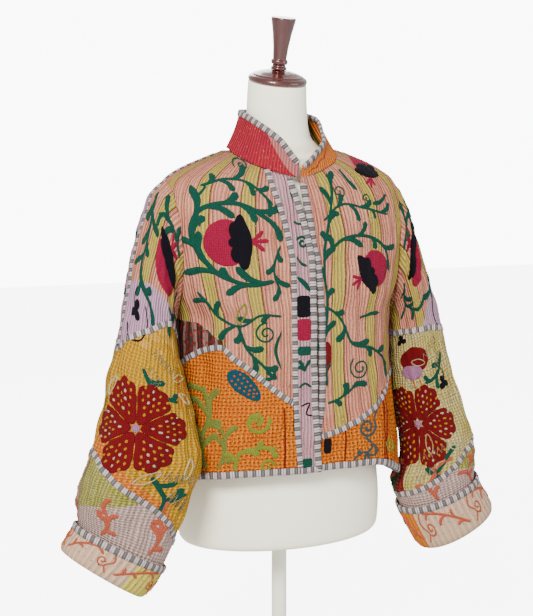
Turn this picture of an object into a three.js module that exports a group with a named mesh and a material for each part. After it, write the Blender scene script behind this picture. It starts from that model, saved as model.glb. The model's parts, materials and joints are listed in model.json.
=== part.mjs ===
// A cropped patchwork jacket on a limbless dress form with a turned wooden neck cap and a pole stand.
// Units are millimetres, +Z is up and the front faces -Y. The wearer's right side is -X.
// The origin is the centre of the stand's foot, on the floor.
// The cloth follows one body surface and two sleeve surfaces. Every panel is a wall cut from them.
import * as THREE from "three";
import { mergeVertices } from "three/addons/utils/BufferGeometryUtils.js";

// Driving dimensions
const CLOTH = 2.2; // quilted cotton wall
const TAPE = 1.2; // striped binding tape
const SEAM = 0.3; // gap left between neighbouring pieces
const TAPE_LIFT = 0.7; // air under a tape that bends over a curved panel
const TAPE_WIDTH = 9;
const BAND_WIDTH = 43; // front band with both of its tapes
const UNDERARM_Z = 655;
const SHOULDER_Z = 868;
const ARMHOLE_DEPTH = 64; // half of the armhole, front to back
const NECK_FRONT_Z = 872;
const NECK_SIDE_Z = 918;
const NECK_BACK_Z = 906;
const NECK_SIDE_X = 92;
const HEM_Z = 415;
const HEM_DROP = { right: 12, left: 44, back: 26 }; // how far the hem hangs below the front
const HEM_DROP_TOP_Z = 560;
const ARM_STEPS = 10; // body rows between the underarm and the shoulder
const RING = 2 * ARM_STEPS; // points round a sleeve
const TORSO_BOTTOM_Z = 278;
const NECK_TOP_Z = 1022;
const FOOT_RADIUS = 155;
const FOOT_HEIGHT = 14;
const POLE_RADIUS = 12.5;

// Sections of the body: half width, depth to the front and to the back, and squareness
const BODY = [
  { z: 385, side: 205, front: 142, back: 129, square: 2.5 },
  { z: 415, side: 204, front: 142, back: 129, square: 2.5 },
  { z: 470, side: 199, front: 141, back: 128, square: 2.5 },
  { z: 530, side: 190, front: 139, back: 126, square: 2.4 },
  { z: 590, side: 183, front: 137, back: 124, square: 2.4 },
  { z: 655, side: 183, front: 134, back: 121, square: 2.4 },
  { z: 690, side: 195, front: 132, back: 119, square: 2.4 },
  { z: 742, side: 205, front: 127, back: 117, square: 2.4 },
  { z: 790, side: 210, front: 118, back: 111, square: 2.4 },
  { z: 821, side: 210, front: 109, back: 103, square: 2.3 },
  { z: 850, side: 205, front: 98, back: 94, square: 2.2 },
  { z: 868, side: 196, front: 89, back: 87, square: 2.1 },
  { z: 880, side: 180, front: 79, back: 82, square: 2.1 },
  { z: 892, side: 156, front: 65, back: 76, square: 2.1 },
  { z: 903, side: 128, front: 48, back: 70, square: 2.1 },
  { z: 911, side: 107, front: 32, back: 59, square: 2.1 },
  { z: 918, side: 92, front: 16, back: 22, square: 2.1 },
];

// Sleeve sections from the armhole to the turned cuff: outer and inner point, middle and half depth
const SLEEVE_RIGHT = [
  { outX: 196, outZ: 868, inX: 183, inZ: 655, midY: 0, depth: 64 },
  { outX: 214, outZ: 852, inX: 187, inZ: 650, midY: -3, depth: 67 },
  { outX: 229, outZ: 822, inX: 190, inZ: 643, midY: -8, depth: 69 },
  { outX: 242, outZ: 786, inX: 192, inZ: 633, midY: -15, depth: 69 },
  { outX: 257, outZ: 742, inX: 192, inZ: 620, midY: -24, depth: 67 },
  { outX: 271, outZ: 690, inX: 190, inZ: 600, midY: -36, depth: 64 },
  { outX: 286, outZ: 638, inX: 187, inZ: 574, midY: -52, depth: 62 },
  { outX: 306, outZ: 582, inX: 184, inZ: 540, midY: -68, depth: 63 },
  { outX: 323, outZ: 525, inX: 182, inZ: 500, midY: -84, depth: 66 },
  { outX: 345, outZ: 468, inX: 178, inZ: 452, midY: -100, depth: 67 },
  { outX: 365, outZ: 422, inX: 192, inZ: 400, midY: -104, depth: 64 },
  { outX: 371, outZ: 390, inX: 216, inZ: 340, midY: -103, depth: 60 },
  { outX: 369, outZ: 360, inX: 241, inZ: 284, midY: -100, depth: 56 },
  { outX: 393, outZ: 322, inX: 274, inZ: 240, midY: -98, depth: 52 },
];
const SLEEVE_LEFT = [
  { outX: 196, outZ: 868, inX: 183, inZ: 655, midY: 0, depth: 64 },
  { outX: 207, outZ: 851, inX: 187, inZ: 650, midY: -2, depth: 67 },
  { outX: 218, outZ: 821, inX: 190, inZ: 643, midY: -5, depth: 69 },
  { outX: 227, outZ: 785, inX: 192, inZ: 633, midY: -9, depth: 69 },
  { outX: 242, outZ: 740, inX: 193, inZ: 620, midY: -14, depth: 66 },
  { outX: 259, outZ: 690, inX: 193, inZ: 600, midY: -20, depth: 62 },
  { outX: 273, outZ: 636, inX: 193, inZ: 574, midY: -26, depth: 60 },
  { outX: 284, outZ: 580, inX: 195, inZ: 540, midY: -32, depth: 59 },
  { outX: 298, outZ: 525, inX: 198, inZ: 500, midY: -38, depth: 60 },
  { outX: 318, outZ: 466, inX: 207, inZ: 452, midY: -44, depth: 60 },
  { outX: 332, outZ: 424, inX: 210, inZ: 400, midY: -48, depth: 58 },
  { outX: 337, outZ: 390, inX: 193, inZ: 351, midY: -50, depth: 57 },
  { outX: 337, outZ: 362, inX: 206, inZ: 314, midY: -51, depth: 55 },
  { outX: 371, outZ: 301, inX: 244, inZ: 240, midY: -52, depth: 52 },
];

// The largest folds of each sleeve: where round it, where along it, how far it runs and how deep
const FOLDS_RIGHT = [
  { round: 125, along: 3.2, width: 24, length: 2.4, depth: -9 },
  { round: 150, along: 5.6, width: 26, length: 1.4, depth: -7 },
  { round: 40, along: 5.2, width: 22, length: 2.2, depth: 4 },
  { round: 100, along: 9.6, width: 22, length: 1.4, depth: -6 },
  { round: 60, along: 10.6, width: 16, length: 1.2, depth: 5 },
  { round: 250, along: 7.5, width: 26, length: 2.2, depth: -6 },
  { round: 215, along: 4.2, width: 26, length: 2.2, depth: -7 },
];
const FOLDS_LEFT = [
  { round: 128, along: 3.4, width: 24, length: 2.4, depth: -8 },
  { round: 70, along: 5.8, width: 22, length: 2.8, depth: -7 },
  { round: 40, along: 8.2, width: 22, length: 1.6, depth: 4 },
  { round: 115, along: 8.6, width: 24, length: 1.8, depth: -7 },
  { round: 255, along: 8.0, width: 26, length: 2.2, depth: -6 },
  { round: 215, along: 4.4, width: 26, length: 2.2, depth: -7 },
];
// The body's largest folds: angle from the front centre, height, spread and depth
const BODY_FOLDS = [
  { angle: -62, z: 600, width: 11, length: 130, depth: -6 },
  { angle: -40, z: 560, width: 9, length: 110, depth: 4 },
  { angle: 58, z: 560, width: 10, length: 130, depth: -5 },
  { angle: 30, z: 500, width: 9, length: 90, depth: 3 },
  { angle: 150, z: 520, width: 12, length: 130, depth: -5 },
  { angle: -152, z: 540, width: 12, length: 130, depth: -5 },
  { angle: 178, z: 470, width: 10, length: 100, depth: 4 },
];

// Where the upper patchwork meets the lower one, by angle from the front centre
const BODY_SEAM = {
  right: [
    { angle: 0, z: 508 },
    { angle: 8, z: 527 },
    { angle: 28, z: 577 },
    { angle: 37, z: 596 },
    { angle: 46, z: 614 },
    { angle: 60, z: 608 },
    { angle: 90, z: 572 },
    { angle: 130, z: 552 },
    { angle: 180, z: 540 },
  ],
  left: [
    { angle: 0, z: 466 },
    { angle: 8, z: 474 },
    { angle: 32, z: 508 },
    { angle: 60, z: 544 },
    { angle: 90, z: 556 },
    { angle: 130, z: 552 },
    { angle: 180, z: 540 },
  ],
};
// Where the sleeve's patches meet, by angle round the sleeve from its outer point
const SLEEVE_SEAMS = {
  right: {
    upper: [
      { angle: 0, along: 6.4 },
      { angle: 60, along: 5.5 },
      { angle: 120, along: 4.1 },
      { angle: 180, along: 3.8 },
      { angle: 270, along: 5.2 },
      { angle: 360, along: 6.4 },
    ],
    lower: [
      { angle: 0, along: 8.9 },
      { angle: 50, along: 9.6 },
      { angle: 110, along: 10.6 },
      { angle: 180, along: 11.4 },
      { angle: 270, along: 10.2 },
      { angle: 360, along: 8.9 },
    ],
  },
  left: {
    upper: [
      { angle: 0, along: 6.6 },
      { angle: 60, along: 6.0 },
      { angle: 120, along: 5.2 },
      { angle: 180, along: 4.6 },
      { angle: 270, along: 5.6 },
      { angle: 360, along: 6.6 },
    ],
    lower: [
      { angle: 0, along: 9.6 },
      { angle: 50, along: 10.0 },
      { angle: 110, along: 11.0 },
      { angle: 180, along: 11.4 },
      { angle: 270, along: 10.4 },
      { angle: 360, along: 9.6 },
    ],
  },
};
// Front edges: where each one lies by height
const EDGE = {
  right: [
    { z: 385, x: 12 },
    { z: 415, x: 11 },
    { z: 536, x: 4 },
    { z: 687, x: 4 },
    { z: 740, x: 4 },
    { z: 790, x: -2 },
    { z: 838, x: -11 },
    { z: 872, x: -17 },
    { z: 918, x: -17 },
  ],
  left: [
    { z: 385, x: -2 },
    { z: 415, x: 0 },
    { z: 470, x: 5 },
    { z: 540, x: 13 },
    { z: 640, x: 14 },
    { z: 740, x: 9 },
    { z: 790, x: 3 },
    { z: 866, x: 0 },
    { z: 918, x: 0 },
  ],
};
// The collar's top edge by angle from the front: width, depth and height
const COLLAR_TOP = {
  right: [
    { angle: 0, x: 1, y: -90, z: 893 },
    { angle: 10, x: 15, y: -85, z: 911 },
    { angle: 22, x: 27, y: -74, z: 931 },
    { angle: 45, x: 46, y: -47, z: 953 },
    { angle: 90, x: 61, y: 8, z: 974 },
    { angle: 135, x: 47, y: 56, z: 978 },
    { angle: 180, x: 0, y: 75, z: 978 },
  ],
  left: [
    { angle: 0, x: 1, y: -90, z: 889 },
    { angle: 10, x: 17, y: -86, z: 900 },
    { angle: 22, x: 33, y: -78, z: 914 },
    { angle: 45, x: 55, y: -52, z: 934 },
    { angle: 90, x: 67, y: 6, z: 966 },
    { angle: 135, x: 48, y: 56, z: 976 },
    { angle: 180, x: 0, y: 75, z: 978 },
  ],
};

// The dress form's own sections below the shoulders
const FORM = [
  { z: 278, side: 160, front: 100, back: 98 },
  { z: 282, side: 169, front: 108, back: 106 },
  { z: 292, side: 174, front: 113, back: 111 },
  { z: 330, side: 176, front: 115, back: 113 },
  { z: 390, side: 172, front: 110, back: 109 },
  { z: 465, side: 148, front: 98, back: 98 },
  { z: 535, side: 124, front: 86, back: 92 },
  { z: 590, side: 122, front: 90, back: 92 },
  { z: 660, side: 140, front: 112, back: 102 },
  { z: 710, side: 150, front: 118, back: 108 },
  { z: 760, side: 156, front: 108, back: 103 },
  { z: 810, side: 160, front: 92, back: 94 },
  { z: 860, side: 165, front: 66, back: 78 },
];

// Values by name from a table, eased between rows by a monotone cubic
function slopes(rows, key, name) {
  const steps = rows
    .slice(1)
    .map((r, i) => (r[name] - rows[i][name]) / (r[key] - rows[i][key]));
  return rows.map((_, i) => {
    const before = steps[i - 1] ?? steps[i];
    const after = steps[i] ?? before;
    return before * after <= 0
      ? 0
      : (2 * before * after) / (before + after);
  });
}
const slopeCache = new Map();
function read(rows, key, at, name) {
  const tag = name + "|" + key;
  if (!slopeCache.has(rows)) slopeCache.set(rows, new Map());
  const kept = slopeCache.get(rows);
  if (!kept.has(tag)) kept.set(tag, slopes(rows, key, name));
  const m = kept.get(tag);
  const last = rows.length - 1;
  if (at <= rows[0][key]) return rows[0][name];
  if (at >= rows[last][key]) return rows[last][name];
  let i = 0;
  while (rows[i + 1][key] < at) i++;
  const span = rows[i + 1][key] - rows[i][key];
  const t = (at - rows[i][key]) / span;
  const t2 = t * t;
  const t3 = t2 * t;
  return (
    rows[i][name] * (2 * t3 - 3 * t2 + 1) +
    m[i] * span * (t3 - 2 * t2 + t) +
    rows[i + 1][name] * (3 * t2 - 2 * t3) +
    m[i + 1] * span * (t3 - t2)
  );
}

const mix = (a, b, t) => a + (b - a) * t;
const clamp = (x, low, high) => Math.min(high, Math.max(low, x));
const smooth = (x, low, high) => {
  const t = clamp((x - low) / (high - low), 0, 1);
  return t * t * (3 - 2 * t);
};
const radians = (degrees) => (degrees * Math.PI) / 180;
const bump = (x) => Math.exp(-x * x);
const turn = (a, b) => ((((a - b) % 360) + 540) % 360) - 180;

// Body surface. angle runs from the front centre, 90 at the side, 180 at the back. sign is -1 on the right.
function bodyPoint(sign, angle, level) {
  const side = read(BODY, "z", level, "side");
  const reach = read(BODY, "z", level, angle < 90 ? "front" : "back");
  const power = 2 / read(BODY, "z", level, "square");
  const across = Math.sin(radians(angle));
  const along = Math.cos(radians(angle));
  const x = side * Math.pow(Math.abs(across), power);
  const y = -reach * Math.sign(along) * Math.pow(Math.abs(along), power);
  let fold = 0;
  for (const f of BODY_FOLDS)
    fold +=
      f.depth *
      bump(turn(sign * angle, f.angle) / f.width) *
      bump((level - f.z) / f.length);
  const scale = 1 + fold / Math.hypot(x, y);
  const hang = 1 - smooth(level, HEM_Z, HEM_DROP_TOP_Z);
  const side90 = sign < 0 ? HEM_DROP.right : HEM_DROP.left;
  const drop =
    mix(side90 * smooth(angle, 20, 85), HEM_DROP.back, smooth(angle, 100, 180)) *
    hang;
  // The left front passes under the right one at the opening.
  const tuck =
    sign > 0 ? 5 * (1 - smooth(Math.abs(x), 40, 85)) * (angle < 90 ? 1 : 0) : 0;
  return new THREE.Vector3(sign * x * scale, y * scale + tuck, level - drop);
}

// Angle on the body where the front or back section has this half width
function angleAtWidth(level, x) {
  const side = read(BODY, "z", level, "side");
  const square = read(BODY, "z", level, "square");
  const share = clamp(Math.abs(x) / side, 0, 1);
  return (Math.asin(Math.pow(share, square / 2)) * 180) / Math.PI;
}
// Angle on the body where the armhole crosses this height, in front or behind
function armholeAngle(level, front) {
  const middle = (UNDERARM_Z + SHOULDER_Z) / 2;
  const half = (SHOULDER_Z - UNDERARM_Z) / 2;
  const share = clamp((level - middle) / half, -1, 1);
  const y = ARMHOLE_DEPTH * Math.sqrt(1 - share * share);
  const reach = read(BODY, "z", level, front ? "front" : "back");
  const square = read(BODY, "z", level, "square");
  const angle =
    (Math.acos(Math.pow(clamp(y / reach, 0, 1), square / 2)) * 180) / Math.PI;
  return front ? angle : 180 - angle;
}
// Half width of the neckline at a height, in front or behind
function neckWidth(level, front) {
  const low = front ? NECK_FRONT_Z : NECK_BACK_Z;
  const ease = front ? 1.3 : 1.5;
  const share = clamp((level - low) / (NECK_SIDE_Z - low), 0, 1);
  const round = front
    ? Math.pow(share, 1 / ease)
    : 1 - Math.pow(1 - share, 1 / ease);
  return NECK_SIDE_X * Math.sin((Math.PI / 2) * round);
}
function neckLevel(angle) {
  const front = angle <= 90;
  const share = front ? angle / 90 : (angle - 90) / 90;
  return front
    ? mix(NECK_FRONT_Z, NECK_SIDE_Z, Math.pow(share, 1.3))
    : mix(NECK_SIDE_Z, NECK_BACK_Z, Math.pow(share, 1.5));
}

// Sleeve surface. round is the angle from the outer point over the front, along counts the sections.
function sleevePoint(sign, round, along) {
  const rows = (sign < 0 ? SLEEVE_RIGHT : SLEEVE_LEFT).map((r, i) => ({
    ...r,
    index: i,
  }));
  const table = sleeveTables.get(sign) ?? rows;
  sleeveTables.set(sign, table);
  const get = (name) => read(table, "index", along, name);
  const outX = get("outX");
  const inX = get("inX");
  const outZ = get("outZ");
  const inZ = get("inZ");
  const depth = get("depth");
  const c = Math.cos(radians(round));
  const s = Math.sin(radians(round));
  const power = 2 / 2.15;
  const cc = Math.sign(c) * Math.pow(Math.abs(c), power);
  const ss = Math.sign(s) * Math.pow(Math.abs(s), power);
  let fold = 0;
  for (const f of sign < 0 ? FOLDS_RIGHT : FOLDS_LEFT)
    fold +=
      f.depth *
      bump(turn(round, f.round) / f.width) *
      bump((along - f.along) / f.length);
  const settle = smooth(along, 0, 1.5) * (1 - smooth(along, 11, 12));
  const grow = 1 + (fold * settle) / depth;
  const point = new THREE.Vector3(
    mix(inX, outX, 0.5) + 0.5 * (outX - inX) * cc * grow,
    get("midY") - depth * ss * grow,
    mix(inZ, outZ, 0.5) + 0.5 * (outZ - inZ) * cc * grow,
  );
  if (along < 1.6) {
    const away = Math.pow(1 - along / 1.6, 2);
    const first = table[0];
    const start = new THREE.Vector3(
      mix(first.inX, first.outX, 0.5) + 0.5 * (first.outX - first.inX) * cc,
      -first.depth * ss,
      mix(first.inZ, first.outZ, 0.5) + 0.5 * (first.outZ - first.inZ) * cc,
    );
    const armhole = armholePoint(1, round);
    point.addScaledVector(armhole.sub(start), away);
  }
  point.x *= sign;
  return point;
}
const sleeveTables = new Map();

function armholePoint(sign, round) {
  const middle = (UNDERARM_Z + SHOULDER_Z) / 2;
  const half = (SHOULDER_Z - UNDERARM_Z) / 2;
  const level = middle + half * Math.cos(radians(round));
  const front = ((round % 360) + 360) % 360 <= 180;
  return bodyPoint(sign, armholeAngle(level, front), level);
}

// Normals by small steps along each surface
function surfaceNormal(at, u, v, du, dv, flip) {
  const a = at(u + du, v).sub(at(u - du, v));
  const b = at(u, v + dv).sub(at(u, v - dv));
  return a.cross(b).normalize().multiplyScalar(flip);
}
const bodyNormal = (sign, angle, level) => {
  const safe = clamp(angle, 0.6, 179.4);
  const n = surfaceNormal(
    (u, v) => bodyPoint(sign, u, v),
    safe,
    clamp(level, 386, 917),
    0.5,
    0.8,
    sign,
  );
  return n;
};
const sleeveNormal = (sign, round, along) =>
  surfaceNormal(
    (u, v) => sleevePoint(sign, u, v),
    round,
    clamp(along, 0.05, 12.95),
    0.6,
    0.03,
    sign,
  );
function armholeNormal(sign, round) {
  const middle = (UNDERARM_Z + SHOULDER_Z) / 2;
  const half = (SHOULDER_Z - UNDERARM_Z) / 2;
  const level = middle + half * Math.cos(radians(round));
  const front = ((round % 360) + 360) % 360 <= 180;
  const body = bodyNormal(sign, armholeAngle(level, front), level);
  return body.add(sleeveNormal(sign, round, 0.05)).normalize();
}

// A closed mesh from a list of corner loops joined in order, each loop with the same number of points
// caps lists the triangles of an open end; without it the end is a fan, which suits a convex outline.
function loft(loops, closed, caps) {
  const count = loops[0].length;
  const points = loops.flat();
  const index = [];
  const spans = closed ? loops.length : loops.length - 1;
  for (let i = 0; i < spans; i++)
    for (let j = 0; j < count; j++) {
      const a = i * count + j;
      const b = i * count + ((j + 1) % count);
      const c = ((i + 1) % loops.length) * count + j;
      const d = ((i + 1) % loops.length) * count + ((j + 1) % count);
      index.push(a, b, d, a, d, c);
    }
  if (!closed) {
    const last = (loops.length - 1) * count;
    const fan = Array.from({ length: count - 2 }, (_, j) => [0, j + 1, j + 2]);
    for (const [a, b, c] of caps ?? fan) {
      index.push(a, c, b);
      index.push(last + a, last + b, last + c);
    }
  }
  return solid(points, index);
}

// Turns points and triangles into a closed geometry whose faces point out
function solid(points, index) {
  const flat = new Float32Array(points.length * 3);
  points.forEach((p, i) => p.toArray(flat, i * 3));
  const geometry = new THREE.BufferGeometry();
  geometry.setAttribute("position", new THREE.BufferAttribute(flat, 3));
  geometry.setIndex(index);
  const merged = mergeVertices(geometry, 1e-4);
  const at = merged.attributes.position;
  const order = Array.from(merged.index.array);
  const kept = [];
  let volume = 0;
  const [a, b, c] = [0, 1, 2].map(() => new THREE.Vector3());
  for (let i = 0; i < order.length; i += 3) {
    const [p, q, r] = order.slice(i, i + 3);
    if (p === q || q === r || p === r) continue;
    kept.push(p, q, r);
    a.fromBufferAttribute(at, p);
    b.fromBufferAttribute(at, q);
    c.fromBufferAttribute(at, r);
    volume += a.dot(b.cross(c));
  }
  if (volume < 0) for (let i = 0; i < kept.length; i += 3) [kept[i], kept[i + 1]] = [kept[i + 1], kept[i]];
  merged.setIndex(kept);
  merged.computeVertexNormals();
  return merged;
}

// A wall from a grid of points and normals, thick inwards. trim says which edges give up half a seam.
function wall(grid, normals, thick, trim, wrap = false) {
  const rows = grid.length;
  const cols = grid[0].length;
  const pulled = grid.map((row) => row.map((p) => p.clone()));
  const shift = (i, j, ni, nj) => {
    const way = grid[ni][nj].clone().sub(grid[i][j]);
    const length = way.length();
    if (length > 1e-6) pulled[i][j].addScaledVector(way, (SEAM * 0.75) / length);
  };
  for (let j = 0; j < cols; j++) {
    if (trim.start) shift(0, j, 1, j);
    if (trim.end) shift(rows - 1, j, rows - 2, j);
  }
  for (let i = 0; i < rows && !wrap; i++) {
    if (trim.left) shift(i, 0, i, 1);
    if (trim.right) shift(i, cols - 1, i, cols - 2);
  }
  const outer = pulled.flat();
  const inner = pulled.map((row, i) =>
    row.map((p, j) => p.clone().addScaledVector(normals[i][j], -thick)),
  );
  const points = [...outer, ...inner.flat()];
  const skip = rows * cols;
  const index = [];
  const quad = (a, b, c, d) => index.push(a, b, c, a, c, d);
  const spanCols = wrap ? cols : cols - 1;
  for (let i = 0; i < rows - 1; i++)
    for (let j = 0; j < spanCols; j++) {
      const a = i * cols + j;
      const b = i * cols + ((j + 1) % cols);
      quad(a, b, b + cols, a + cols);
      quad(skip + a, skip + a + cols, skip + b + cols, skip + b);
    }
  for (let j = 0; j < spanCols; j++) {
    const a = j;
    const b = (j + 1) % cols;
    const top = (rows - 1) * cols;
    quad(b, a, skip + a, skip + b);
    quad(top + a, top + b, skip + top + b, skip + top + a);
  }
  for (let i = 0; i < rows - 1 && !wrap; i++) {
    const a = i * cols;
    const b = i * cols + cols - 1;
    quad(a, a + cols, skip + a + cols, skip + a);
    quad(b + cols, b, skip + b, skip + b + cols);
  }
  return solid(points, index);
}

// A tape along points with surface normals: it lies proud of the surface, lift above it
function tape(path, width, lift, thick, closed = false) {
  const loops = path.map(({ p, n }, i) => {
    const before = path[i - 1] ?? (closed ? path.at(-1) : path[i]);
    const after = path[i + 1] ?? (closed ? path[0] : path[i]);
    const along = after.p.clone().sub(before.p).normalize();
    const across = along.clone().cross(n).normalize();
    const corner = (s, h) =>
      p.clone().addScaledVector(across, s).addScaledVector(n, h);
    return [
      corner(-width / 2, lift),
      corner(width / 2, lift),
      corner(width / 2, lift + thick),
      corner(-width / 2, lift + thick),
    ];
  });
  return loft(loops, closed);
}

// A folded binding round a wall's edge: each path step has the way inward, from the edge into the cloth.
function binding(path, width, gap = 0.8) {
  const out = gap + TAPE;
  const low = -CLOTH;
  const loops = path.map(({ p, n, inward }, i) => {
    const before = path[i - 1] ?? path[i];
    const after = path[i + 1] ?? path[i];
    const along = after.p.clone().sub(before.p).normalize();
    const square = inward.clone().addScaledVector(along, -inward.dot(along));
    square.normalize();
    const corner = (deep, h) =>
      p.clone().addScaledVector(square, deep).addScaledVector(n, h);
    return [
      corner(width, gap),
      corner(width, out),
      corner(-out, out * 0.7),
      corner(-out, low - out * 0.7),
      corner(width, low - out),
      corner(width, low - gap),
      corner(-gap, low - gap),
      corner(-gap, gap),
    ];
  });
  return loft(loops, false, BINDING_CAPS);
}
const BINDING_CAPS = [
  [0, 1, 2],
  [0, 2, 7],
  [7, 2, 3],
  [7, 3, 6],
  [6, 3, 4],
  [6, 4, 5],
];

const group = new THREE.Group();
const finishes = {
  salmonPatch: { color: "#c98f7c", roughness: 0.95 },
  orangePatch: { color: "#d9853f", roughness: 0.95 },
  palePatch: { color: "#cfa9a6", roughness: 0.95 },
  mustardPatch: { color: "#c99a35", roughness: 0.95 },
  creamPatch: { color: "#cfc08a", roughness: 0.95 },
  olivePatch: { color: "#a3a05f", roughness: 0.95 },
  cuffPatch: { color: "#e0bfa0", roughness: 0.95 },
  collarRed: { color: "#b84a55", roughness: 0.95 },
  collarOrange: { color: "#d97b45", roughness: 0.95 },
  collarDark: { color: "#4d4a33", roughness: 0.95 },
  gussetPatch: { color: "#5b4038", roughness: 0.95 },
  stripeTape: { color: "#8f8a8d", roughness: 0.9 },
  formCloth: { color: "#f0ead6", roughness: 0.9 },
  wood: { color: "#54200f", roughness: 0.3 },
  standPaint: { color: "#ece6d2", roughness: 0.5 },
};
const materials = Object.fromEntries(
  Object.entries(finishes).map(([name, f]) => [
    name,
    new THREE.MeshStandardMaterial({ ...f, metalness: 0, name }),
  ]),
);
function add(name, geometry, finish) {
  const mesh = new THREE.Mesh(geometry, materials[finish]);
  mesh.name = name;
  group.add(mesh);
}

// Heights of the body rows between the underarm and the shoulder, close together at both ends
const armRows = Array.from({ length: ARM_STEPS + 1 }, (_, k) => {
  const middle = (UNDERARM_Z + SHOULDER_Z) / 2;
  const half = (SHOULDER_Z - UNDERARM_Z) / 2;
  return middle - half * Math.cos((Math.PI * k) / ARM_STEPS);
});
const shoulderRows = [875, 883, 892, 901, 909, 914.5];

const sideName = (sign) => (sign < 0 ? "right" : "left");
const seamLevel = (sign, angle) =>
  read(BODY_SEAM[sideName(sign)], "angle", angle, "z");

// Where a row of the front or back panel starts and ends, as angles
function rowEnds(sign, level, front) {
  const onArmhole = level > UNDERARM_Z && level < SHOULDER_Z;
  const end = onArmhole ? armholeAngle(level, front) : 90;
  if (!front) {
    const start =
      level > NECK_BACK_Z
        ? 180 - angleAtWidth(level, neckWidth(level, false))
        : 180;
    return [start, end];
  }
  const edgeX = read(EDGE[sideName(sign)], "z", level, "x") * sign;
  const neck = level > NECK_FRONT_Z ? neckWidth(level, true) : -1e3;
  const startX = Math.max(edgeX + (sign < 0 ? BAND_WIDTH - TAPE_WIDTH : 0), neck);
  return [signedAngle(level, startX), end];
}
// An angle for a half width that may lie past the centre line
const signedAngle = (level, x) => Math.sign(x) * angleAtWidth(level, x);

// Point and normal on the body at an angle that may be negative, past the centre line
function bodyAt(sign, angle, level) {
  if (angle >= 0)
    return {
      p: bodyPoint(sign, angle, level),
      n: bodyNormal(sign, angle, level),
    };
  const p = bodyPoint(sign, -angle, level);
  const n = bodyNormal(sign, -angle, level);
  p.x *= -1;
  n.x *= -1;
  return { p, n };
}

function panelGrid(sign, levels, columns, front) {
  const grid = [];
  const normals = [];
  for (const levelAt of levels) {
    const base = levelAt(90);
    const [start, end] = rowEnds(sign, base, front);
    const row = [];
    const across = [];
    for (let j = 0; j <= columns; j++) {
      const angle = mix(start, end, j / columns);
      const { p, n } = bodyAt(sign, angle, levelAt(Math.abs(angle)));
      row.push(p);
      const onArmhole =
        j === columns && base > UNDERARM_Z - 1e-3 && base < SHOULDER_Z + 1e-3;
      if (onArmhole) {
        const middle = (UNDERARM_Z + SHOULDER_Z) / 2;
        const half = (SHOULDER_Z - UNDERARM_Z) / 2;
        const share = clamp((base - middle) / half, -1, 1);
        const turned = (Math.acos(share) * 180) / Math.PI;
        across.push(armholeNormal(sign, front ? turned : 360 - turned));
      } else across.push(n);
    }
    grid.push(row);
    normals.push(across);
  }
  return { grid, normals };
}

// Levels of the lower panel run from the hem to the slanting seam, those of the upper one from there up.
const lowerLevels = (sign, steps) =>
  Array.from(
    { length: steps + 1 },
    (_, i) => (angle) => mix(HEM_Z, seamLevel(sign, angle), i / steps),
  );
const upperLevels = (sign, steps) => [
  ...Array.from(
    { length: steps },
    (_, i) => (angle) => mix(seamLevel(sign, angle), UNDERARM_Z, i / steps),
  ),
  ...armRows.map((z) => () => z),
  ...shoulderRows.map((z) => () => z),
];

const FRONT_COLUMNS = 8;
const BACK_COLUMNS = 9;
const grids = {};
function buildBody() {
  for (const sign of [-1, 1]) {
    const side = sideName(sign);
    for (const front of [true, false]) {
      const place = front ? "front" : "back";
      const columns = front ? FRONT_COLUMNS : BACK_COLUMNS;
      const lower = panelGrid(sign, lowerLevels(sign, 5), columns, front);
      const upper = panelGrid(sign, upperLevels(sign, 3), columns, front);
      grids[`${place}_${side}`] = { lower, upper };
      add(
        `${place}_${side}_lower`,
        wall(lower.grid, lower.normals, CLOTH, {
          end: true,
          left: true,
          right: true,
        }),
        "orangePatch",
      );
      add(
        `${place}_${side}_upper`,
        wall(upper.grid, upper.normals, CLOTH, {
          start: true,
          left: true,
          right: true,
        }),
        "salmonPatch",
      );
    }
  }
}

// The band on the right front, a little proud of the panel beside it
function buildBand() {
  const levels = [
    ...Array.from({ length: 12 }, (_, i) => mix(HEM_Z, 640, i / 11)),
    ...Array.from({ length: 9 }, (_, i) => mix(662, NECK_FRONT_Z - 6, i / 8)),
  ];
  const grid = [];
  const normals = [];
  const edge = [];
  const inner = [];
  for (const level of levels) {
    const x = -read(EDGE.right, "z", level, "x");
    const row = [];
    const across = [];
    for (let j = 0; j <= 3; j++) {
      const at = mix(BAND_WIDTH - TAPE_WIDTH, 0, j / 3) + x;
      const { p, n } = bodyAt(-1, signedAngle(level, at), level);
      row.push(p.addScaledVector(n, 1.4));
      across.push(n);
    }
    grid.push(row);
    normals.push(across);
    edge.push({
      p: row[3].clone(),
      n: across[3],
      inward: row[2].clone().sub(row[3]).normalize(),
    });
    inner.push({ p: row[0].clone(), n: across[0] });
  }
  // The inner tape starts above the hem's binding.
  inner[0].p.lerp(inner[1].p, 0.62);
  add("band", wall(grid, normals, CLOTH, { left: true }), "palePatch");
  add("band_edge_binding", binding(edge, TAPE_WIDTH), "stripeTape");
  add("band_inner_tape", tape(inner, TAPE_WIDTH, SEAM, TAPE), "stripeTape");
}

// Folded binding down the left front's edge, from the hem to the collar
function buildLeftEdge() {
  const { lower, upper } = grids.front_left;
  const edge = [];
  const take = ({ grid, normals }, i) =>
    edge.push({
      p: grid[i][0].clone(),
      n: normals[i][0],
      inward: grid[i][1].clone().sub(grid[i][0]).normalize(),
    });
  for (let i = 0; i < lower.grid.length - 1; i += 2) take(lower, i);
  for (let i = 0; upper.grid[i][0].z < NECK_FRONT_Z - 4; i++) take(upper, i);
  edge[0].p.lerp(edge[1].p, (TAPE_WIDTH + 3) / edge[0].p.distanceTo(edge[1].p));
  add("left_edge_binding", binding(edge, TAPE_WIDTH), "stripeTape");
}

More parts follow.
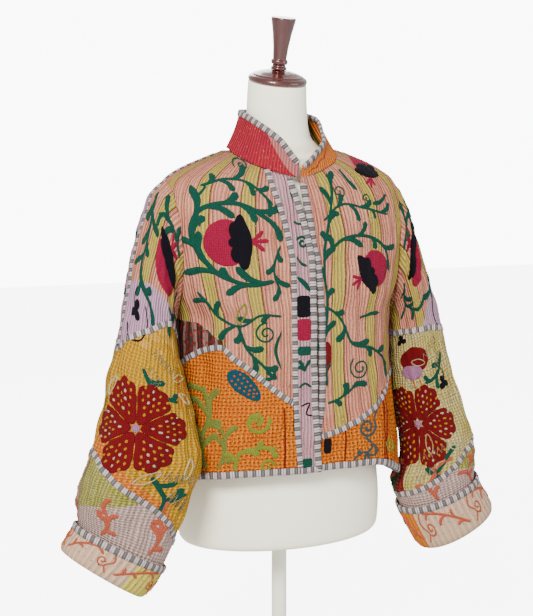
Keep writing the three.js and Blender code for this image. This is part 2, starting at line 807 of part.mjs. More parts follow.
// A run of grid steps along one row of the front and back panels of a side
function rowPath(sign, part, row, nextRow) {
  const side = sideName(sign);
  const steps = (place) => {
    const { grid, normals } = grids[`${place}_${side}`][part];
    return grid[row].map((p, j) => ({
      p: p.clone(),
      n: normals[row][j],
      inward: grid[nextRow][j].clone().sub(p).normalize(),
    }));
  };
  const front = steps("front");
  const back = steps("back").reverse();
  return { front, back, all: [...front, ...back.slice(1)] };
}

// Hem binding in two lengths that meet at the centre of the back
function buildHem() {
  for (const sign of [-1, 1]) {
    const { all } = rowPath(sign, "lower", 0, 1);
    const short = sign < 0 ? 3 : TAPE_WIDTH + 3;
    all[0].p.lerp(all[1].p, short / all[0].p.distanceTo(all[1].p));
    const last = all.length - 1;
    all[last].p.x = sign;
    add(`hem_binding_${sideName(sign)}`, binding(all, TAPE_WIDTH), "stripeTape");
  }
}

// Tapes over the slanting seams of the fronts and the back
function buildBodyTapes() {
  for (const sign of [-1, 1]) {
    const side = sideName(sign);
    const { front, back } = rowPath(sign, "upper", 0, 1);
    const short = sign < 0 ? 3 + TAPE_WIDTH / 2 : TAPE_WIDTH + 3;
    front[0].p.lerp(front[1].p, short / front[0].p.distanceTo(front[1].p));
    const end = front.length - 1;
    front[end].p.lerp(front[end - 1].p, 0.03);
    back[0].p.lerp(back[1].p, 0.03);
    back[back.length - 1].p.x = sign;
    add(
      `front_${side}_tape`,
      tape(front, TAPE_WIDTH, TAPE_LIFT, TAPE),
      "stripeTape",
    );
    add(
      `back_${side}_tape`,
      tape(back, TAPE_WIDTH, TAPE_LIFT, TAPE),
      "stripeTape",
    );
  }
}

// Sleeve patches, their tapes, the turned cuff and its binding
function buildSleeve(sign) {
  const side = sideName(sign);
  const rounds = Array.from({ length: RING }, (_, j) => (360 * j) / RING);
  const seams = SLEEVE_SEAMS[side];
  const seamAt = (name, round) => read(seams[name], "angle", round, "along");
  const FOLD_ALONG = 13;
  const CUFF_ALONG = 12;
  const patch = (name, steps, from, to, trim, finish) => {
    const grid = [];
    const normals = [];
    for (let i = 0; i <= steps; i++) {
      grid.push(
        rounds.map((round) =>
          sleevePoint(sign, round, mix(from(round), to(round), i / steps)),
        ),
      );
      normals.push(
        rounds.map((round) => {
          const along = mix(from(round), to(round), i / steps);
          return along < 1e-6
            ? armholeNormal(sign, round)
            : sleeveNormal(sign, round, along);
        }),
      );
    }
    add(`sleeve_${side}_${name}`, wall(grid, normals, CLOTH, trim, true), finish);
  };
  const right = sign < 0;
  const start = () => 0;
  const upper = (round) => seamAt("upper", round);
  const lower = (round) => seamAt("lower", round);
  const end = () => FOLD_ALONG;
  const both = { start: true, end: true };
  patch("upper", 7, start, upper, both, right ? "palePatch" : "salmonPatch");
  patch("middle", 6, upper, lower, both, right ? "mustardPatch" : "creamPatch");
  patch("lower", 5, lower, end, { start: true }, "olivePatch");
  for (const [name, at] of [
    ["upper", upper],
    ["lower", lower],
  ]) {
    const path = rounds.map((round) => ({
      p: sleevePoint(sign, round, at(round)),
      n: sleeveNormal(sign, round, at(round)),
    }));
    add(
      `sleeve_${side}_${name}_tape`,
      tape(path, TAPE_WIDTH, TAPE_LIFT + 0.7, TAPE, true),
      "stripeTape",
    );
  }
  // The cuff wraps the sleeve's end: a wall outside it that turns in under the fold.
  const ease = 2.8;
  const cuffLoops = rounds.map((round) => {
    const at = (along, out) =>
      sleevePoint(sign, round, along).addScaledVector(
        sleeveNormal(sign, round, along),
        out,
      );
    const down = at(13, 0).sub(at(12.8, 0)).normalize();
    const below = (out, deep) => at(13, out).addScaledVector(down, deep);
    return [
      at(CUFF_ALONG, SEAM + ease),
      at(CUFF_ALONG, SEAM + ease + CLOTH),
      at(12.5, SEAM + ease + CLOTH + 1),
      below(SEAM + CLOTH, 0),
      below(0, CLOTH),
      below(-CLOTH, CLOTH),
      below(-CLOTH, SEAM),
      below(SEAM, SEAM),
      at(12.5, SEAM + ease + 1),
    ];
  });
  add(`cuff_${side}`, loft(cuffLoops, true), "cuffPatch");
  const cuffEdge = rounds.map((round) => {
    const n = sleeveNormal(sign, round, CUFF_ALONG);
    const p = sleevePoint(sign, round, CUFF_ALONG).addScaledVector(
      n,
      SEAM + ease + CLOTH,
    );
    const next = sleevePoint(sign, round, 12.5).addScaledVector(
      sleeveNormal(sign, round, 12.5),
      SEAM + ease + CLOTH + 1,
    );
    return { p, n, inward: next.sub(p).normalize() };
  });
  const lift = 0.8;
  const capLoops = cuffEdge.map(({ p, n, inward }) => {
    const corner = (deep, h) =>
      p.clone().addScaledVector(inward, deep).addScaledVector(n, h);
    return [
      corner(TAPE_WIDTH, lift),
      corner(TAPE_WIDTH, lift + TAPE),
      corner(0, lift + TAPE),
      corner(-SEAM - TAPE, -CLOTH / 2),
      corner(-SEAM - TAPE, -CLOTH),
      corner(-SEAM, -CLOTH),
      corner(-SEAM, lift),
    ];
  });
  add(`cuff_${side}_binding`, loft(capLoops, true), "stripeTape");
}

// Tapes along the shoulder seam and on down the top of each sleeve
function buildShoulderTapes() {
  for (const sign of [-1, 1]) {
    const side = sideName(sign);
    const lift = 1;
    const path = [];
    for (const level of [909, 901, 892, 883, 875])
      path.push(bodyAt(sign, 90, level));
    const last = read(SLEEVE_SEAMS[side].upper, "angle", 0, "along") - 0.16;
    for (let i = 0; i <= 12; i++) {
      const along = mix(0.25, last, i / 12);
      path.push({
        p: sleevePoint(sign, 0, along),
        n: sleeveNormal(sign, 0, along),
      });
    }
    add(`shoulder_${side}_tape`, tape(path, TAPE_WIDTH, lift, TAPE), "stripeTape");
  }
}

// The collar stands on the neckline. It is cut in three: right front, back and left front.
function collarPoint(sign, angle, rise) {
  const level = neckLevel(angle);
  const base = bodyAt(
    sign,
    angle <= 90
      ? angleAtWidth(level, NECK_SIDE_X * Math.sin(radians(angle)))
      : 180 - angleAtWidth(level, NECK_SIDE_X * Math.sin(radians(angle))),
    level,
  ).p;
  const rows = COLLAR_TOP[sideName(sign)];
  const top = new THREE.Vector3(
    sign * read(rows, "angle", angle, "x"),
    read(rows, "angle", angle, "y") + (sign > 0 ? 3 * (1 - smooth(angle, 5, 40)) : 0),
    read(rows, "angle", angle, "z"),
  );
  const lift = 1.2;
  base.z += lift;
  const roll = Math.sin(Math.PI * rise) * 4;
  const p = base.clone().lerp(top, rise);
  const out = new THREE.Vector3(p.x, p.y - 5, 0).normalize();
  return p.addScaledVector(out, -roll * 0.4);
}
function collarNormal(sign, angle, rise) {
  return surfaceNormal(
    (u, v) => collarPoint(sign, u, v),
    clamp(angle, 0.8, 179.2),
    rise,
    0.7,
    0.02,
    sign,
  );
}
function buildCollar() {
  const COLLAR_END = 2; // degrees from the front centre
  const BACK_START = 112;
  const rows = 4;
  const piece = (name, path, trim, finish) => {
    const grid = [];
    const normals = [];
    for (let i = 0; i <= rows; i++) {
      grid.push(path.map(({ sign, angle }) => collarPoint(sign, angle, i / rows)));
      normals.push(
        path.map(({ sign, angle }) => collarNormal(sign, angle, i / rows)),
      );
    }
    add(name, wall(grid, normals, CLOTH, { start: true, ...trim }), finish);
  };
  const run = (sign, from, to, steps) =>
    Array.from({ length: steps + 1 }, (_, i) => ({
      sign,
      angle: mix(from, to, i / steps),
    }));
  const trim = { left: true, right: true };
  const right = run(-1, COLLAR_END, BACK_START, 9);
  const left = run(1, COLLAR_END, BACK_START, 9);
  const back = [
    ...run(-1, BACK_START, 180, 4),
    ...run(1, BACK_START, 180, 4).reverse().slice(1),
  ];
  piece("collar_right", right, trim, "collarRed");
  piece("collar_left", left, trim, "collarOrange");
  piece("collar_back", back, trim, "collarDark");
  const edge = [...right, ...back.slice(1, -1), ...left.slice().reverse()];
  const path = edge.map(({ sign, angle }) => {
    const p = collarPoint(sign, angle, 1);
    const n = collarNormal(sign, angle, 1);
    return {
      p,
      n,
      inward: collarPoint(sign, angle, 0.75).sub(p).normalize(),
    };
  });
  add("collar_binding", binding(path, 7, 1.5), "stripeTape");
}

// Underarm gussets: a patch between the slanting seam and the underarm, across the side
const GUSSET = {
  right: { front: 4, back: 3, top: 650, start: 8 },
  left: { front: 2, back: 3, top: 606, start: 10 },
};
function buildGussets() {
  for (const sign of [-1, 1]) {
    const cut = GUSSET[sideName(sign)];
    const angles = [];
    for (let k = cut.front; k >= 0; k--)
      angles.push(90 - (90 * k) / FRONT_COLUMNS);
    for (let k = 1; k <= cut.back; k++)
      angles.push(90 + (90 * k) / BACK_COLUMNS);
    const grid = [];
    const normals = [];
    for (let i = 0; i <= 3; i++) {
      const row = [];
      const across = [];
      angles.forEach((angle, j) => {
        const low = seamLevel(sign, angle) + TAPE_WIDTH / 2 + 3;
        const spread = Math.min(j / 2, (angles.length - 1 - j) / 2, 1);
        const high = mix(low + cut.start, cut.top, smooth(spread, 0, 1));
        const { p, n } = bodyAt(sign, angle, mix(low, high, i / 3));
        row.push(p.addScaledVector(n, 1.7 * TAPE_LIFT + TAPE));
        across.push(n);
      });
      grid.push(row);
      normals.push(across);
    }
    add(`gusset_${sideName(sign)}`, wall(grid, normals, TAPE, {}), "gussetPatch");
  }
}

// The dress form: its own sections up to the bust, then just inside the jacket over the shoulders.
// Its columns are the jacket's own, so the two lie side by side: right front, side, back, left.
const REST = 0.8; // air between the form's shoulders and the cloth on them
const SIDE_STEPS = 3;
const CENTRE_STEPS = 2;
function formLoop(level) {
  const own = (signed) => {
    const angle = Math.abs(signed);
    const side = read(FORM, "z", level, "side");
    const reach = read(FORM, "z", level, angle < 90 ? "front" : "back");
    return new THREE.Vector3(
      side * Math.sin(radians(signed)),
      -reach * Math.cos(radians(signed)),
      level,
    );
  };
  const share = smooth(level, 750, SHOULDER_Z - 8);
  const frontPull = 20 * smooth(level, 760, SHOULDER_Z);
  const backPull = 10 * smooth(level, 870, 900);
  const half = (sign) => {
    const [frontStart, frontEnd] = rowEnds(sign, level, true);
    const [backStart, backEnd] = rowEnds(sign, level, false);
    // The shoulder's end is rounded off more than the cloth over it.
    const round = 4 * smooth(level, 820, 860) * (1 - smooth(level, 866, 880));
    const inside = (angle, pull) => {
      const { p, n } = bodyAt(sign, angle, level);
      const off = round * smooth(Math.sin(radians(angle)), 0.55, 0.8);
      p.addScaledVector(n, -(CLOTH + REST + off));
      p.addScaledVector(new THREE.Vector3(n.x, n.y, 0).normalize(), -pull);
      const mine = own(sign * angle);
      return mine.lerp(p, share);
    };
    const near = (j) => 1 - smooth(j, 0, 4);
    const points = [];
    for (let j = 0; j <= FRONT_COLUMNS; j++) {
      const angle = mix(frontStart, frontEnd, j / FRONT_COLUMNS);
      points.push(inside(angle, frontPull * near(j)));
    }
    const first = points.at(-1);
    const after = inside(backEnd, 0);
    for (let k = 1; k < SIDE_STEPS; k++) {
      const t = k / SIDE_STEPS;
      const chord = first.clone().lerp(after, t);
      const curve = own(sign * mix(frontEnd, backEnd, t));
      points.push(curve.lerp(chord, share));
    }
    points.push(after);
    for (let j = BACK_COLUMNS - 1; j >= 0; j--) {
      const angle = mix(backStart, backEnd, j / BACK_COLUMNS);
      points.push(inside(angle, backPull * near(j)));
    }
    return points;
  };
  const left = half(1);
  const right = half(-1).reverse();
  const join = (a, b, steps) =>
    Array.from({ length: steps - 1 }, (_, k) => a.clone().lerp(b, (k + 1) / steps));
  // The left half's last point and the right half's first one meet at the centre of the back.
  return [
    ...left,
    ...join(left.at(-1), right[0], CENTRE_STEPS),
    ...right,
    ...join(right.at(-1), left[0], CENTRE_STEPS + 1),
  ];
}
function buildForm() {
  const rows = [TORSO_BOTTOM_Z, 282, 292, 330, 390, 465, 535, 590, 660, 710, 750, 785];
  rows.push(armRows[7], armRows[8], armRows[9], SHOULDER_Z, 875, 883, 892, 901);
  const loops = rows.map(formLoop);
  const neck = [
    { z: 911, x: 78, y: 50, midY: 2 },
    { z: 922, x: 65, y: 52, midY: 5 },
    { z: 936, x: 55, y: 52, midY: 10 },
    { z: 958, x: 50, y: 51, midY: 12 },
    { z: 990, x: 48.5, y: 49, midY: 12 },
    { z: NECK_TOP_Z, x: 47, y: 47, midY: 10 },
  ];
  const last = loops.at(-1);
  for (const r of neck) {
    const tilt = smooth(r.z, 940, NECK_TOP_Z);
    const forward = Math.tan(radians(NECK_LEAN * tilt));
    const aside = Math.tan(radians(CAP_LEAN * tilt));
    loops.push(
      last.map((p) => {
        const a = Math.atan2(p.x / 133, -(p.y - 4) / 62);
        const x = r.x * Math.sin(a);
        const y = -r.y * Math.cos(a);
        return new THREE.Vector3(
          x,
          r.midY + y,
          r.z + y * forward - x * aside,
        );
      }),
    );
  }
  add("form_torso", loft(loops, false), "formCloth");
}
const NECK_LEAN = 12;
const CAP_LEAN = 1.2; // to the wearer's left

// The turned cap and finial lean with the neck.
function buildCap() {
  const lean = new THREE.Group();
  lean.position.set(0, 10, NECK_TOP_Z);
  lean.rotation.x = radians(NECK_LEAN);
  lean.rotation.y = radians(CAP_LEAN);
  const turned = (name, profile, lift) => {
    const points = profile.map(([r, z]) => new THREE.Vector2(r, z));
    const shape = new THREE.LatheGeometry(points, 18);
    shape.rotateX(Math.PI / 2);
    const mesh = new THREE.Mesh(shape, materials.wood);
    mesh.name = name;
    mesh.position.z = lift;
    lean.add(mesh);
  };
  turned(
    "neck_cap",
    [
      [0, 0],
      [45, 0],
      [47.5, 3],
      [48, 7],
      [45, 11],
      [38, 13],
      [36, 15],
      [24, 19],
      [12, 21],
      [0, 21],
    ],
    0.4,
  );
  turned(
    "finial",
    [
      [0, 0],
      [12, 0],
      [12, 4],
      [10.5, 8],
      [13, 11],
      [13, 15],
      [11.5, 18],
      [13, 40],
      [16.5, 62],
      [20, 81],
      [19, 83],
      [0, 83],
    ],
    21.7,
  );
  group.add(lean);
}

// The stand: a socket under the form, a pole and a round foot
function buildStand() {
  const turned = (name, profile) => {
    const points = profile.map(([r, z]) => new THREE.Vector2(r, z));
    const shape = new THREE.LatheGeometry(points, 24);
    shape.rotateX(Math.PI / 2);
    add(name, shape, "standPaint");
  };
  const socketTop = TORSO_BOTTOM_Z - SEAM;
  const socketBottom = socketTop - 26;
  turned("stand_socket", [
    [0, socketBottom],
    [17, socketBottom],
    [18, socketBottom + 1],
    [18, socketTop - 6],
    [30, socketTop - 4],
    [30, socketTop],
    [0, socketTop],
  ]);
  turned("stand_pole", [
    [0, FOOT_HEIGHT + SEAM],
    [POLE_RADIUS, FOOT_HEIGHT + SEAM],
    [POLE_RADIUS, socketBottom - SEAM],
    [0, socketBottom - SEAM],
  ]);
  turned("stand_foot", [
    [0, 0],
    [FOOT_RADIUS, 0],
    [FOOT_RADIUS, 5],
    [FOOT_RADIUS - 4, 8],
    [40, FOOT_HEIGHT],
    [0, FOOT_HEIGHT],
  ]);
}

buildStand();
buildBody();
buildForm();
buildCap();
buildBand();
buildLeftEdge();
buildHem();
buildBodyTapes();
buildSleeve(-1);
buildSleeve(1);
buildShoulderTapes();
buildCollar();
buildGussets();

export default group;
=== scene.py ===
import json
import math

import bmesh
import bpy
import numpy as np
from mathutils import Matrix, Vector
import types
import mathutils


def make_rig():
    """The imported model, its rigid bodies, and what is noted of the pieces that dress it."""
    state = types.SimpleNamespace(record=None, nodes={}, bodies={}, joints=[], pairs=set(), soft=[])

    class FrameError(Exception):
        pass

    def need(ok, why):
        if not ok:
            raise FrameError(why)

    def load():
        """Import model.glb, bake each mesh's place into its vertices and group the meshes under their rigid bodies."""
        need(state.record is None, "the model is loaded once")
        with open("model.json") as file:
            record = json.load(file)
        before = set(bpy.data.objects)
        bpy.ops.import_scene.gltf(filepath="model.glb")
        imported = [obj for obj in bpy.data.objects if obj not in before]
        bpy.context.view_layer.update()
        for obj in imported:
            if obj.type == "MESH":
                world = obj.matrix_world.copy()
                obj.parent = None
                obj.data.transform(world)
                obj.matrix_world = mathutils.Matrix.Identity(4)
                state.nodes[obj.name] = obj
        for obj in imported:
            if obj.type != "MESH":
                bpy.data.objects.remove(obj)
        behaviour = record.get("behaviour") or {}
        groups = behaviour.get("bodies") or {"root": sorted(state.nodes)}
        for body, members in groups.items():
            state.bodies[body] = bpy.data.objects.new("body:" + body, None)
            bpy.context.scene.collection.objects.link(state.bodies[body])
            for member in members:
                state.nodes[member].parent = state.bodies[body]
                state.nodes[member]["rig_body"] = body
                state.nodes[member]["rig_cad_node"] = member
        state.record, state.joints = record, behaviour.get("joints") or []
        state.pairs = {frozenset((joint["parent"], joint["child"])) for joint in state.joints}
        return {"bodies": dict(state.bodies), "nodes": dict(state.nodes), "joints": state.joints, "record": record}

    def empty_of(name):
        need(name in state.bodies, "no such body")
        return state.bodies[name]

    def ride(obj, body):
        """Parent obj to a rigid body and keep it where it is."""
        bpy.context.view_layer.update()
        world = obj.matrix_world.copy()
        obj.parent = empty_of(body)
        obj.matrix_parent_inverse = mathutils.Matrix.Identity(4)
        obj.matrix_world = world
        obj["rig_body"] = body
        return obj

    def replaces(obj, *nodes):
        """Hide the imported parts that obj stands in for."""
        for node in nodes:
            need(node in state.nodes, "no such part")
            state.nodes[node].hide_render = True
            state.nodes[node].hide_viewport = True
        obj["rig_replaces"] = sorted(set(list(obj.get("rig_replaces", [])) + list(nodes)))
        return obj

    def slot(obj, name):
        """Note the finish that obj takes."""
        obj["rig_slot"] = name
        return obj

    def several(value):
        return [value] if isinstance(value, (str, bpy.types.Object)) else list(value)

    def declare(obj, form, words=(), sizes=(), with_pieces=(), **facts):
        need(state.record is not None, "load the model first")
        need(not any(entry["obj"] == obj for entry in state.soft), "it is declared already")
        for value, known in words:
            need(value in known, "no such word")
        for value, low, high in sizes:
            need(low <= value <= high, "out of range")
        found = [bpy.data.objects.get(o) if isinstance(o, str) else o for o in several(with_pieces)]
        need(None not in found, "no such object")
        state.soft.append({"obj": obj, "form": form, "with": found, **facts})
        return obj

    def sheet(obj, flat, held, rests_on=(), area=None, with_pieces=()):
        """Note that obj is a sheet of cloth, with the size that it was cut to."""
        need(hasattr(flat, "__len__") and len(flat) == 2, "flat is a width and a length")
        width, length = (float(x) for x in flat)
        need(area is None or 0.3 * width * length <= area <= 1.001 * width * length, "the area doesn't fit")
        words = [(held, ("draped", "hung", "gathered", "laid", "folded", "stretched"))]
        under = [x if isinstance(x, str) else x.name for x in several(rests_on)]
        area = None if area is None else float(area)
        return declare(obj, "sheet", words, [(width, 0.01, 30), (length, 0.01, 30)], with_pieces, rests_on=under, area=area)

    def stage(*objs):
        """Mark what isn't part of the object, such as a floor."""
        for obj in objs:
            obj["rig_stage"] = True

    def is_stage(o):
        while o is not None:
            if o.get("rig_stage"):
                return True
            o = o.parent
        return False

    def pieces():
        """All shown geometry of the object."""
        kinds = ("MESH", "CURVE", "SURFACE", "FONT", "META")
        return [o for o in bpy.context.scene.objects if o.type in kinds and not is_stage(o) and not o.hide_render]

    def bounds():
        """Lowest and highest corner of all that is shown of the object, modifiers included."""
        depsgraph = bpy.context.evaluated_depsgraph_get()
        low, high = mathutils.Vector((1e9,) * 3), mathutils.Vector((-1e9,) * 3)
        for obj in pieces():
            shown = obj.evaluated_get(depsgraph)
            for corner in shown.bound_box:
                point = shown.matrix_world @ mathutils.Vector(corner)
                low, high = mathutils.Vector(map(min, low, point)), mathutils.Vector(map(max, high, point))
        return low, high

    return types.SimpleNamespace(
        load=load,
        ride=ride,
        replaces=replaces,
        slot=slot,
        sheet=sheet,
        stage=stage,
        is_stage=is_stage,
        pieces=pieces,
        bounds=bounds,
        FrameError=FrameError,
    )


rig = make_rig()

# A cropped patchwork jacket on a dress form. The shapes follow the same body and sleeve surfaces as
# the frame's solids, at a finer step. Lengths here are millimetres, and meshes are made in metres.
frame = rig.load()
mm = 0.001


def plainBounds():
    low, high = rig.bounds()
    return [list(low), list(high)]


sizeAtStart = plainBounds()

# Cloth and tape
clothThick = 2.2
tapeThick = 1.1
tapeWidth = 9
bandWidth = 43
underarmZ = 655
shoulderZ = 868
armholeDepth = 64
neckFrontZ = 872
neckSideZ = 918
neckBackZ = 906
neckSideX = 92
hemZ = 415
hemDrop = {-1: 12, 1: 44}
hemDropBack = 26
hemDropTopZ = 560
sleeveEnd = 13
cuffTop = 12


def table(names, rows):
    columns = np.array(rows, dtype=float).T
    return dict(zip(names.split(), columns))


bodySections = table("z side front back square", [
    (385, 205, 142, 129, 2.5), (415, 204, 142, 129, 2.5), (470, 199, 141, 128, 2.5),
    (530, 190, 139, 126, 2.4), (590, 183, 137, 124, 2.4), (655, 183, 134, 121, 2.4),
    (690, 195, 132, 119, 2.4), (742, 205, 127, 117, 2.4), (790, 210, 118, 111, 2.4),
    (821, 210, 109, 103, 2.3), (850, 205, 98, 94, 2.2), (868, 196, 89, 87, 2.1),
    (880, 180, 79, 82, 2.1), (892, 156, 65, 76, 2.1), (903, 128, 48, 70, 2.1),
    (911, 107, 32, 59, 2.1), (918, 92, 16, 22, 2.1),
])
sleeveSections = {
    -1: table("outX outZ inX inZ midY depth", [
        (196, 868, 183, 655, 0, 64), (214, 852, 187, 650, -3, 67), (229, 822, 190, 643, -8, 69),
        (242, 786, 192, 633, -15, 69), (257, 742, 192, 620, -24, 67), (271, 690, 190, 600, -36, 64),
        (286, 638, 187, 574, -52, 62), (306, 582, 184, 540, -68, 63), (323, 525, 182, 500, -84, 66),
        (345, 468, 178, 452, -100, 67), (365, 422, 192, 400, -104, 64),
        (371, 390, 216, 340, -103, 60), (369, 360, 241, 284, -100, 56),
        (393, 322, 274, 240, -98, 52),
    ]),
    1: table("outX outZ inX inZ midY depth", [
        (196, 868, 183, 655, 0, 64), (207, 851, 187, 650, -2, 67), (218, 821, 190, 643, -5, 69),
        (227, 785, 192, 633, -9, 69), (242, 740, 193, 620, -14, 66), (259, 690, 193, 600, -20, 62),
        (273, 636, 193, 574, -26, 60), (284, 580, 195, 540, -32, 59), (298, 525, 198, 500, -38, 60),
        (318, 466, 207, 452, -44, 60), (332, 424, 210, 400, -48, 58), (337, 390, 193, 351, -50, 57),
        (337, 362, 206, 314, -51, 55), (371, 301, 244, 240, -52, 52),
    ]),
}
for rows in sleeveSections.values():
    rows["index"] = np.arange(14.0)
sleeveFolds = {
    -1: table("round along width length depth", [
        (125, 3.2, 24, 2.4, -9), (150, 5.6, 26, 1.4, -7), (40, 5.2, 22, 2.2, 4),
        (100, 9.6, 22, 1.4, -6), (60, 10.6, 16, 1.2, 5), (250, 7.5, 26, 2.2, -6),
        (215, 4.2, 26, 2.2, -7),
    ]),
    1: table("round along width length depth", [
        (128, 3.4, 24, 2.4, -8), (70, 5.8, 22, 2.8, -7), (40, 8.2, 22, 1.6, 4),
        (115, 8.6, 24, 1.8, -7), (255, 8.0, 26, 2.2, -6), (215, 4.4, 26, 2.2, -7),
    ]),
}
bodyFolds = table("angle z width length depth", [
    (-62, 600, 11, 130, -6), (-40, 560, 9, 110, 4), (58, 560, 10, 130, -5), (30, 500, 9, 90, 3),
    (150, 520, 12, 130, -5), (-152, 540, 12, 130, -5), (178, 470, 10, 100, 4),
])
bodySeams = {
    -1: table("angle z", [
        (0, 508), (8, 527), (28, 577), (37, 596), (46, 614), (60, 608), (90, 572), (130, 552),
        (180, 540),
    ]),
    1: table("angle z", [
        (0, 466), (8, 474), (32, 508), (60, 544), (90, 556), (130, 552), (180, 540),
    ]),
}
sleeveSeams = {
    (-1, "upper"): table("angle along", [
        (0, 6.4), (60, 5.5), (120, 4.1), (180, 3.8), (270, 5.2), (360, 6.4),
    ]),
    (-1, "lower"): table("angle along", [
        (0, 8.9), (50, 9.6), (110, 10.6), (180, 11.4), (270, 10.2), (360, 8.9),
    ]),
    (1, "upper"): table("angle along", [
        (0, 6.6), (60, 6.0), (120, 5.2), (180, 4.6), (270, 5.6), (360, 6.6),
    ]),
    (1, "lower"): table("angle along", [
        (0, 9.6), (50, 10.0), (110, 11.0), (180, 11.4), (270, 10.4), (360, 9.6),
    ]),
}
frontEdges = {
    -1: table("z x", [
        (385, 12), (415, 11), (536, 4), (687, 4), (740, 4), (790, -2), (838, -11), (872, -17),
        (918, -17),
    ]),
    1: table("z x", [
        (385, -2), (415, 0), (470, 5), (540, 13), (640, 14), (740, 9), (790, 3), (866, 0), (918, 0),
    ]),
}
collarTops = {
    -1: table("angle x y z", [
        (0, 1, -90, 893), (10, 15, -85, 911), (22, 27, -74, 931), (45, 46, -47, 953),
        (90, 61, 8, 974), (135, 47, 56, 978), (180, 0, 75, 978),
    ]),
    1: table("angle x y z", [
        (0, 1, -90, 889), (10, 17, -86, 900), (22, 33, -78, 914), (45, 55, -52, 934),
        (90, 67, 6, 966), (135, 48, 56, 976), (180, 0, 75, 978),
    ]),
}


def spread(*values):
    return np.broadcast_arrays(*[np.asarray(value, dtype=float) for value in values])


def stack(*values):
    return np.stack(np.broadcast_arrays(*values), -1)


# A table's column at any place between its rows, as a smooth curve that doesn't overshoot
def read(rows, key, at, name):
    x = rows[key]
    y = rows[name]
    step = np.diff(y) / np.diff(x)
    before = np.concatenate([step[:1], step])
    after = np.concatenate([step, step[-1:]])
    total = before + after
    slope = np.where(before * after <= 0, 0, 2 * before * after / np.where(total == 0, 1, total))
    at = np.asarray(at, dtype=float)
    i = np.clip(np.searchsorted(x, at, side="right") - 1, 0, len(x) - 2)
    span = x[i + 1] - x[i]
    t = np.clip((at - x[i]) / span, 0, 1)
    return (
        y[i] * (2 * t**3 - 3 * t**2 + 1)
        + slope[i] * span * (t**3 - 2 * t**2 + t)
        + y[i + 1] * (3 * t**2 - 2 * t**3)
        + slope[i + 1] * span * (t**3 - t**2)
    )


def section(level, name):
    return read(bodySections, "z", level, name)


def mix(a, b, t):
    return a + (b - a) * t


def smooth(x, low, high):
    t = np.clip((x - low) / (high - low), 0, 1)
    return t * t * (3 - 2 * t)


def bump(x):
    return np.exp(-x * x)


def unit(v):
    return v / np.maximum(np.linalg.norm(v, axis=-1, keepdims=True), 1e-9)


# Small puckers of quilted cloth: a few fixed waves in each direction, in millimetres of chart
puckerWaves = [
    {"across": across, "down": down, "phase": phase, "height": height}
    for across, down, phase, height in (
        (34, 150, 0.3, 0.55), (-47, 92, 1.9, 0.5), (22, 210, 4.1, 0.35), (61, -74, 2.7, 0.5),
        (17, 95, 5.2, 0.22), (-19, 120, 0.9, 0.22), (90, 46, 3.3, 0.4),
    )
]


def puckers(across, down):
    total = 0
    for wave in puckerWaves:
        turns = across / wave["across"] + down / wave["down"]
        total = total + wave["height"] * np.sin(2 * math.pi * turns + wave["phase"])
    return total


# Each fold is a soft ridge or trough at one place of the surface.
def addFolds(total, rows, angle, place):
    for middle, along, width, length, depth in zip(*rows.values()):
        turned = (angle - middle + 180) % 360 - 180
        total = total + depth * bump(turned / width) * bump((place - along) / length)
    return total


# The body's surface: sign is -1 on the wearer's right, and the angle runs from the front middle.
def bodyPoint(sign, angle, level):
    angle, level = spread(angle, level)
    power = 2 / section(level, "square")
    reach = np.where(angle < 90, section(level, "front"), section(level, "back"))
    along = np.cos(np.radians(angle))
    x = section(level, "side") * np.abs(np.sin(np.radians(angle))) ** power
    y = -reach * np.sign(along) * np.abs(along) ** power
    fold = puckers(angle * 2.9 + 40 * sign, level) * smooth(914 - level, 0, 40)
    scale = 1 + addFolds(fold, bodyFolds, sign * angle, level) / np.hypot(x, y)
    hang = 1 - smooth(level, hemZ, hemDropTopZ)
    drop = mix(hemDrop[sign] * smooth(angle, 20, 85), hemDropBack, smooth(angle, 100, 180))
    tuck = 0
    if sign > 0:
        tuck = 5 * (1 - smooth(np.abs(x), 40, 85)) * (angle < 90)
    return stack(sign * x * scale, y * scale + tuck, level - drop * hang)


def angleAtWidth(level, x):
    share = np.clip(np.abs(x) / section(level, "side"), 0, 1)
    return np.degrees(np.arcsin(share ** (section(level, "square") / 2)))


armMiddle = (underarmZ + shoulderZ) / 2
armHalf = (shoulderZ - underarmZ) / 2


def armholeAngle(level, front):
    share = np.clip((level - armMiddle) / armHalf, -1, 1)
    y = armholeDepth * np.sqrt(1 - share * share)
    reach = np.clip(y / section(level, "front" if front else "back"), 0, 1)
    angle = np.degrees(np.arccos(reach ** (section(level, "square") / 2)))
    return angle if front else 180 - angle


neckCurveFront = 1.3
neckCurveBack = 1.5


def neckWidth(level, front):
    low = neckFrontZ if front else neckBackZ
    share = np.clip((level - low) / (neckSideZ - low), 0, 1)
    around = share ** (1 / neckCurveFront) if front else 1 - (1 - share) ** (1 / neckCurveBack)
    return neckSideX * np.sin(math.pi / 2 * around)


def neckLevel(angle):
    front = mix(neckFrontZ, neckSideZ, np.clip(angle / 90, 0, 1) ** neckCurveFront)
    back = mix(neckSideZ, neckBackZ, np.clip(angle / 90 - 1, 0, 1) ** neckCurveBack)
    return np.where(angle <= 90, front, back)


# A surface's normal, from points a small step to each side of a place
def normalOf(surface, sign, u, v, du, dv):
    a = surface(sign, u + du, v) - surface(sign, u - du, v)
    b = surface(sign, u, v + dv) - surface(sign, u, v - dv)
    return unit(np.cross(a, b)) * sign


def bodyAt(sign, angle, level):
    angle, level = spread(angle, level)
    folded = np.abs(angle)
    points = bodyPoint(sign, folded, level)
    inside = np.clip(folded, 0.6, 179.4), np.clip(level, 386, 917)
    normals = normalOf(bodyPoint, sign, *inside, 0.5, 0.8)
    mirror = np.where(angle < 0, -1.0, 1.0)
    points[..., 0] *= mirror
    normals[..., 0] *= mirror
    return points, normals


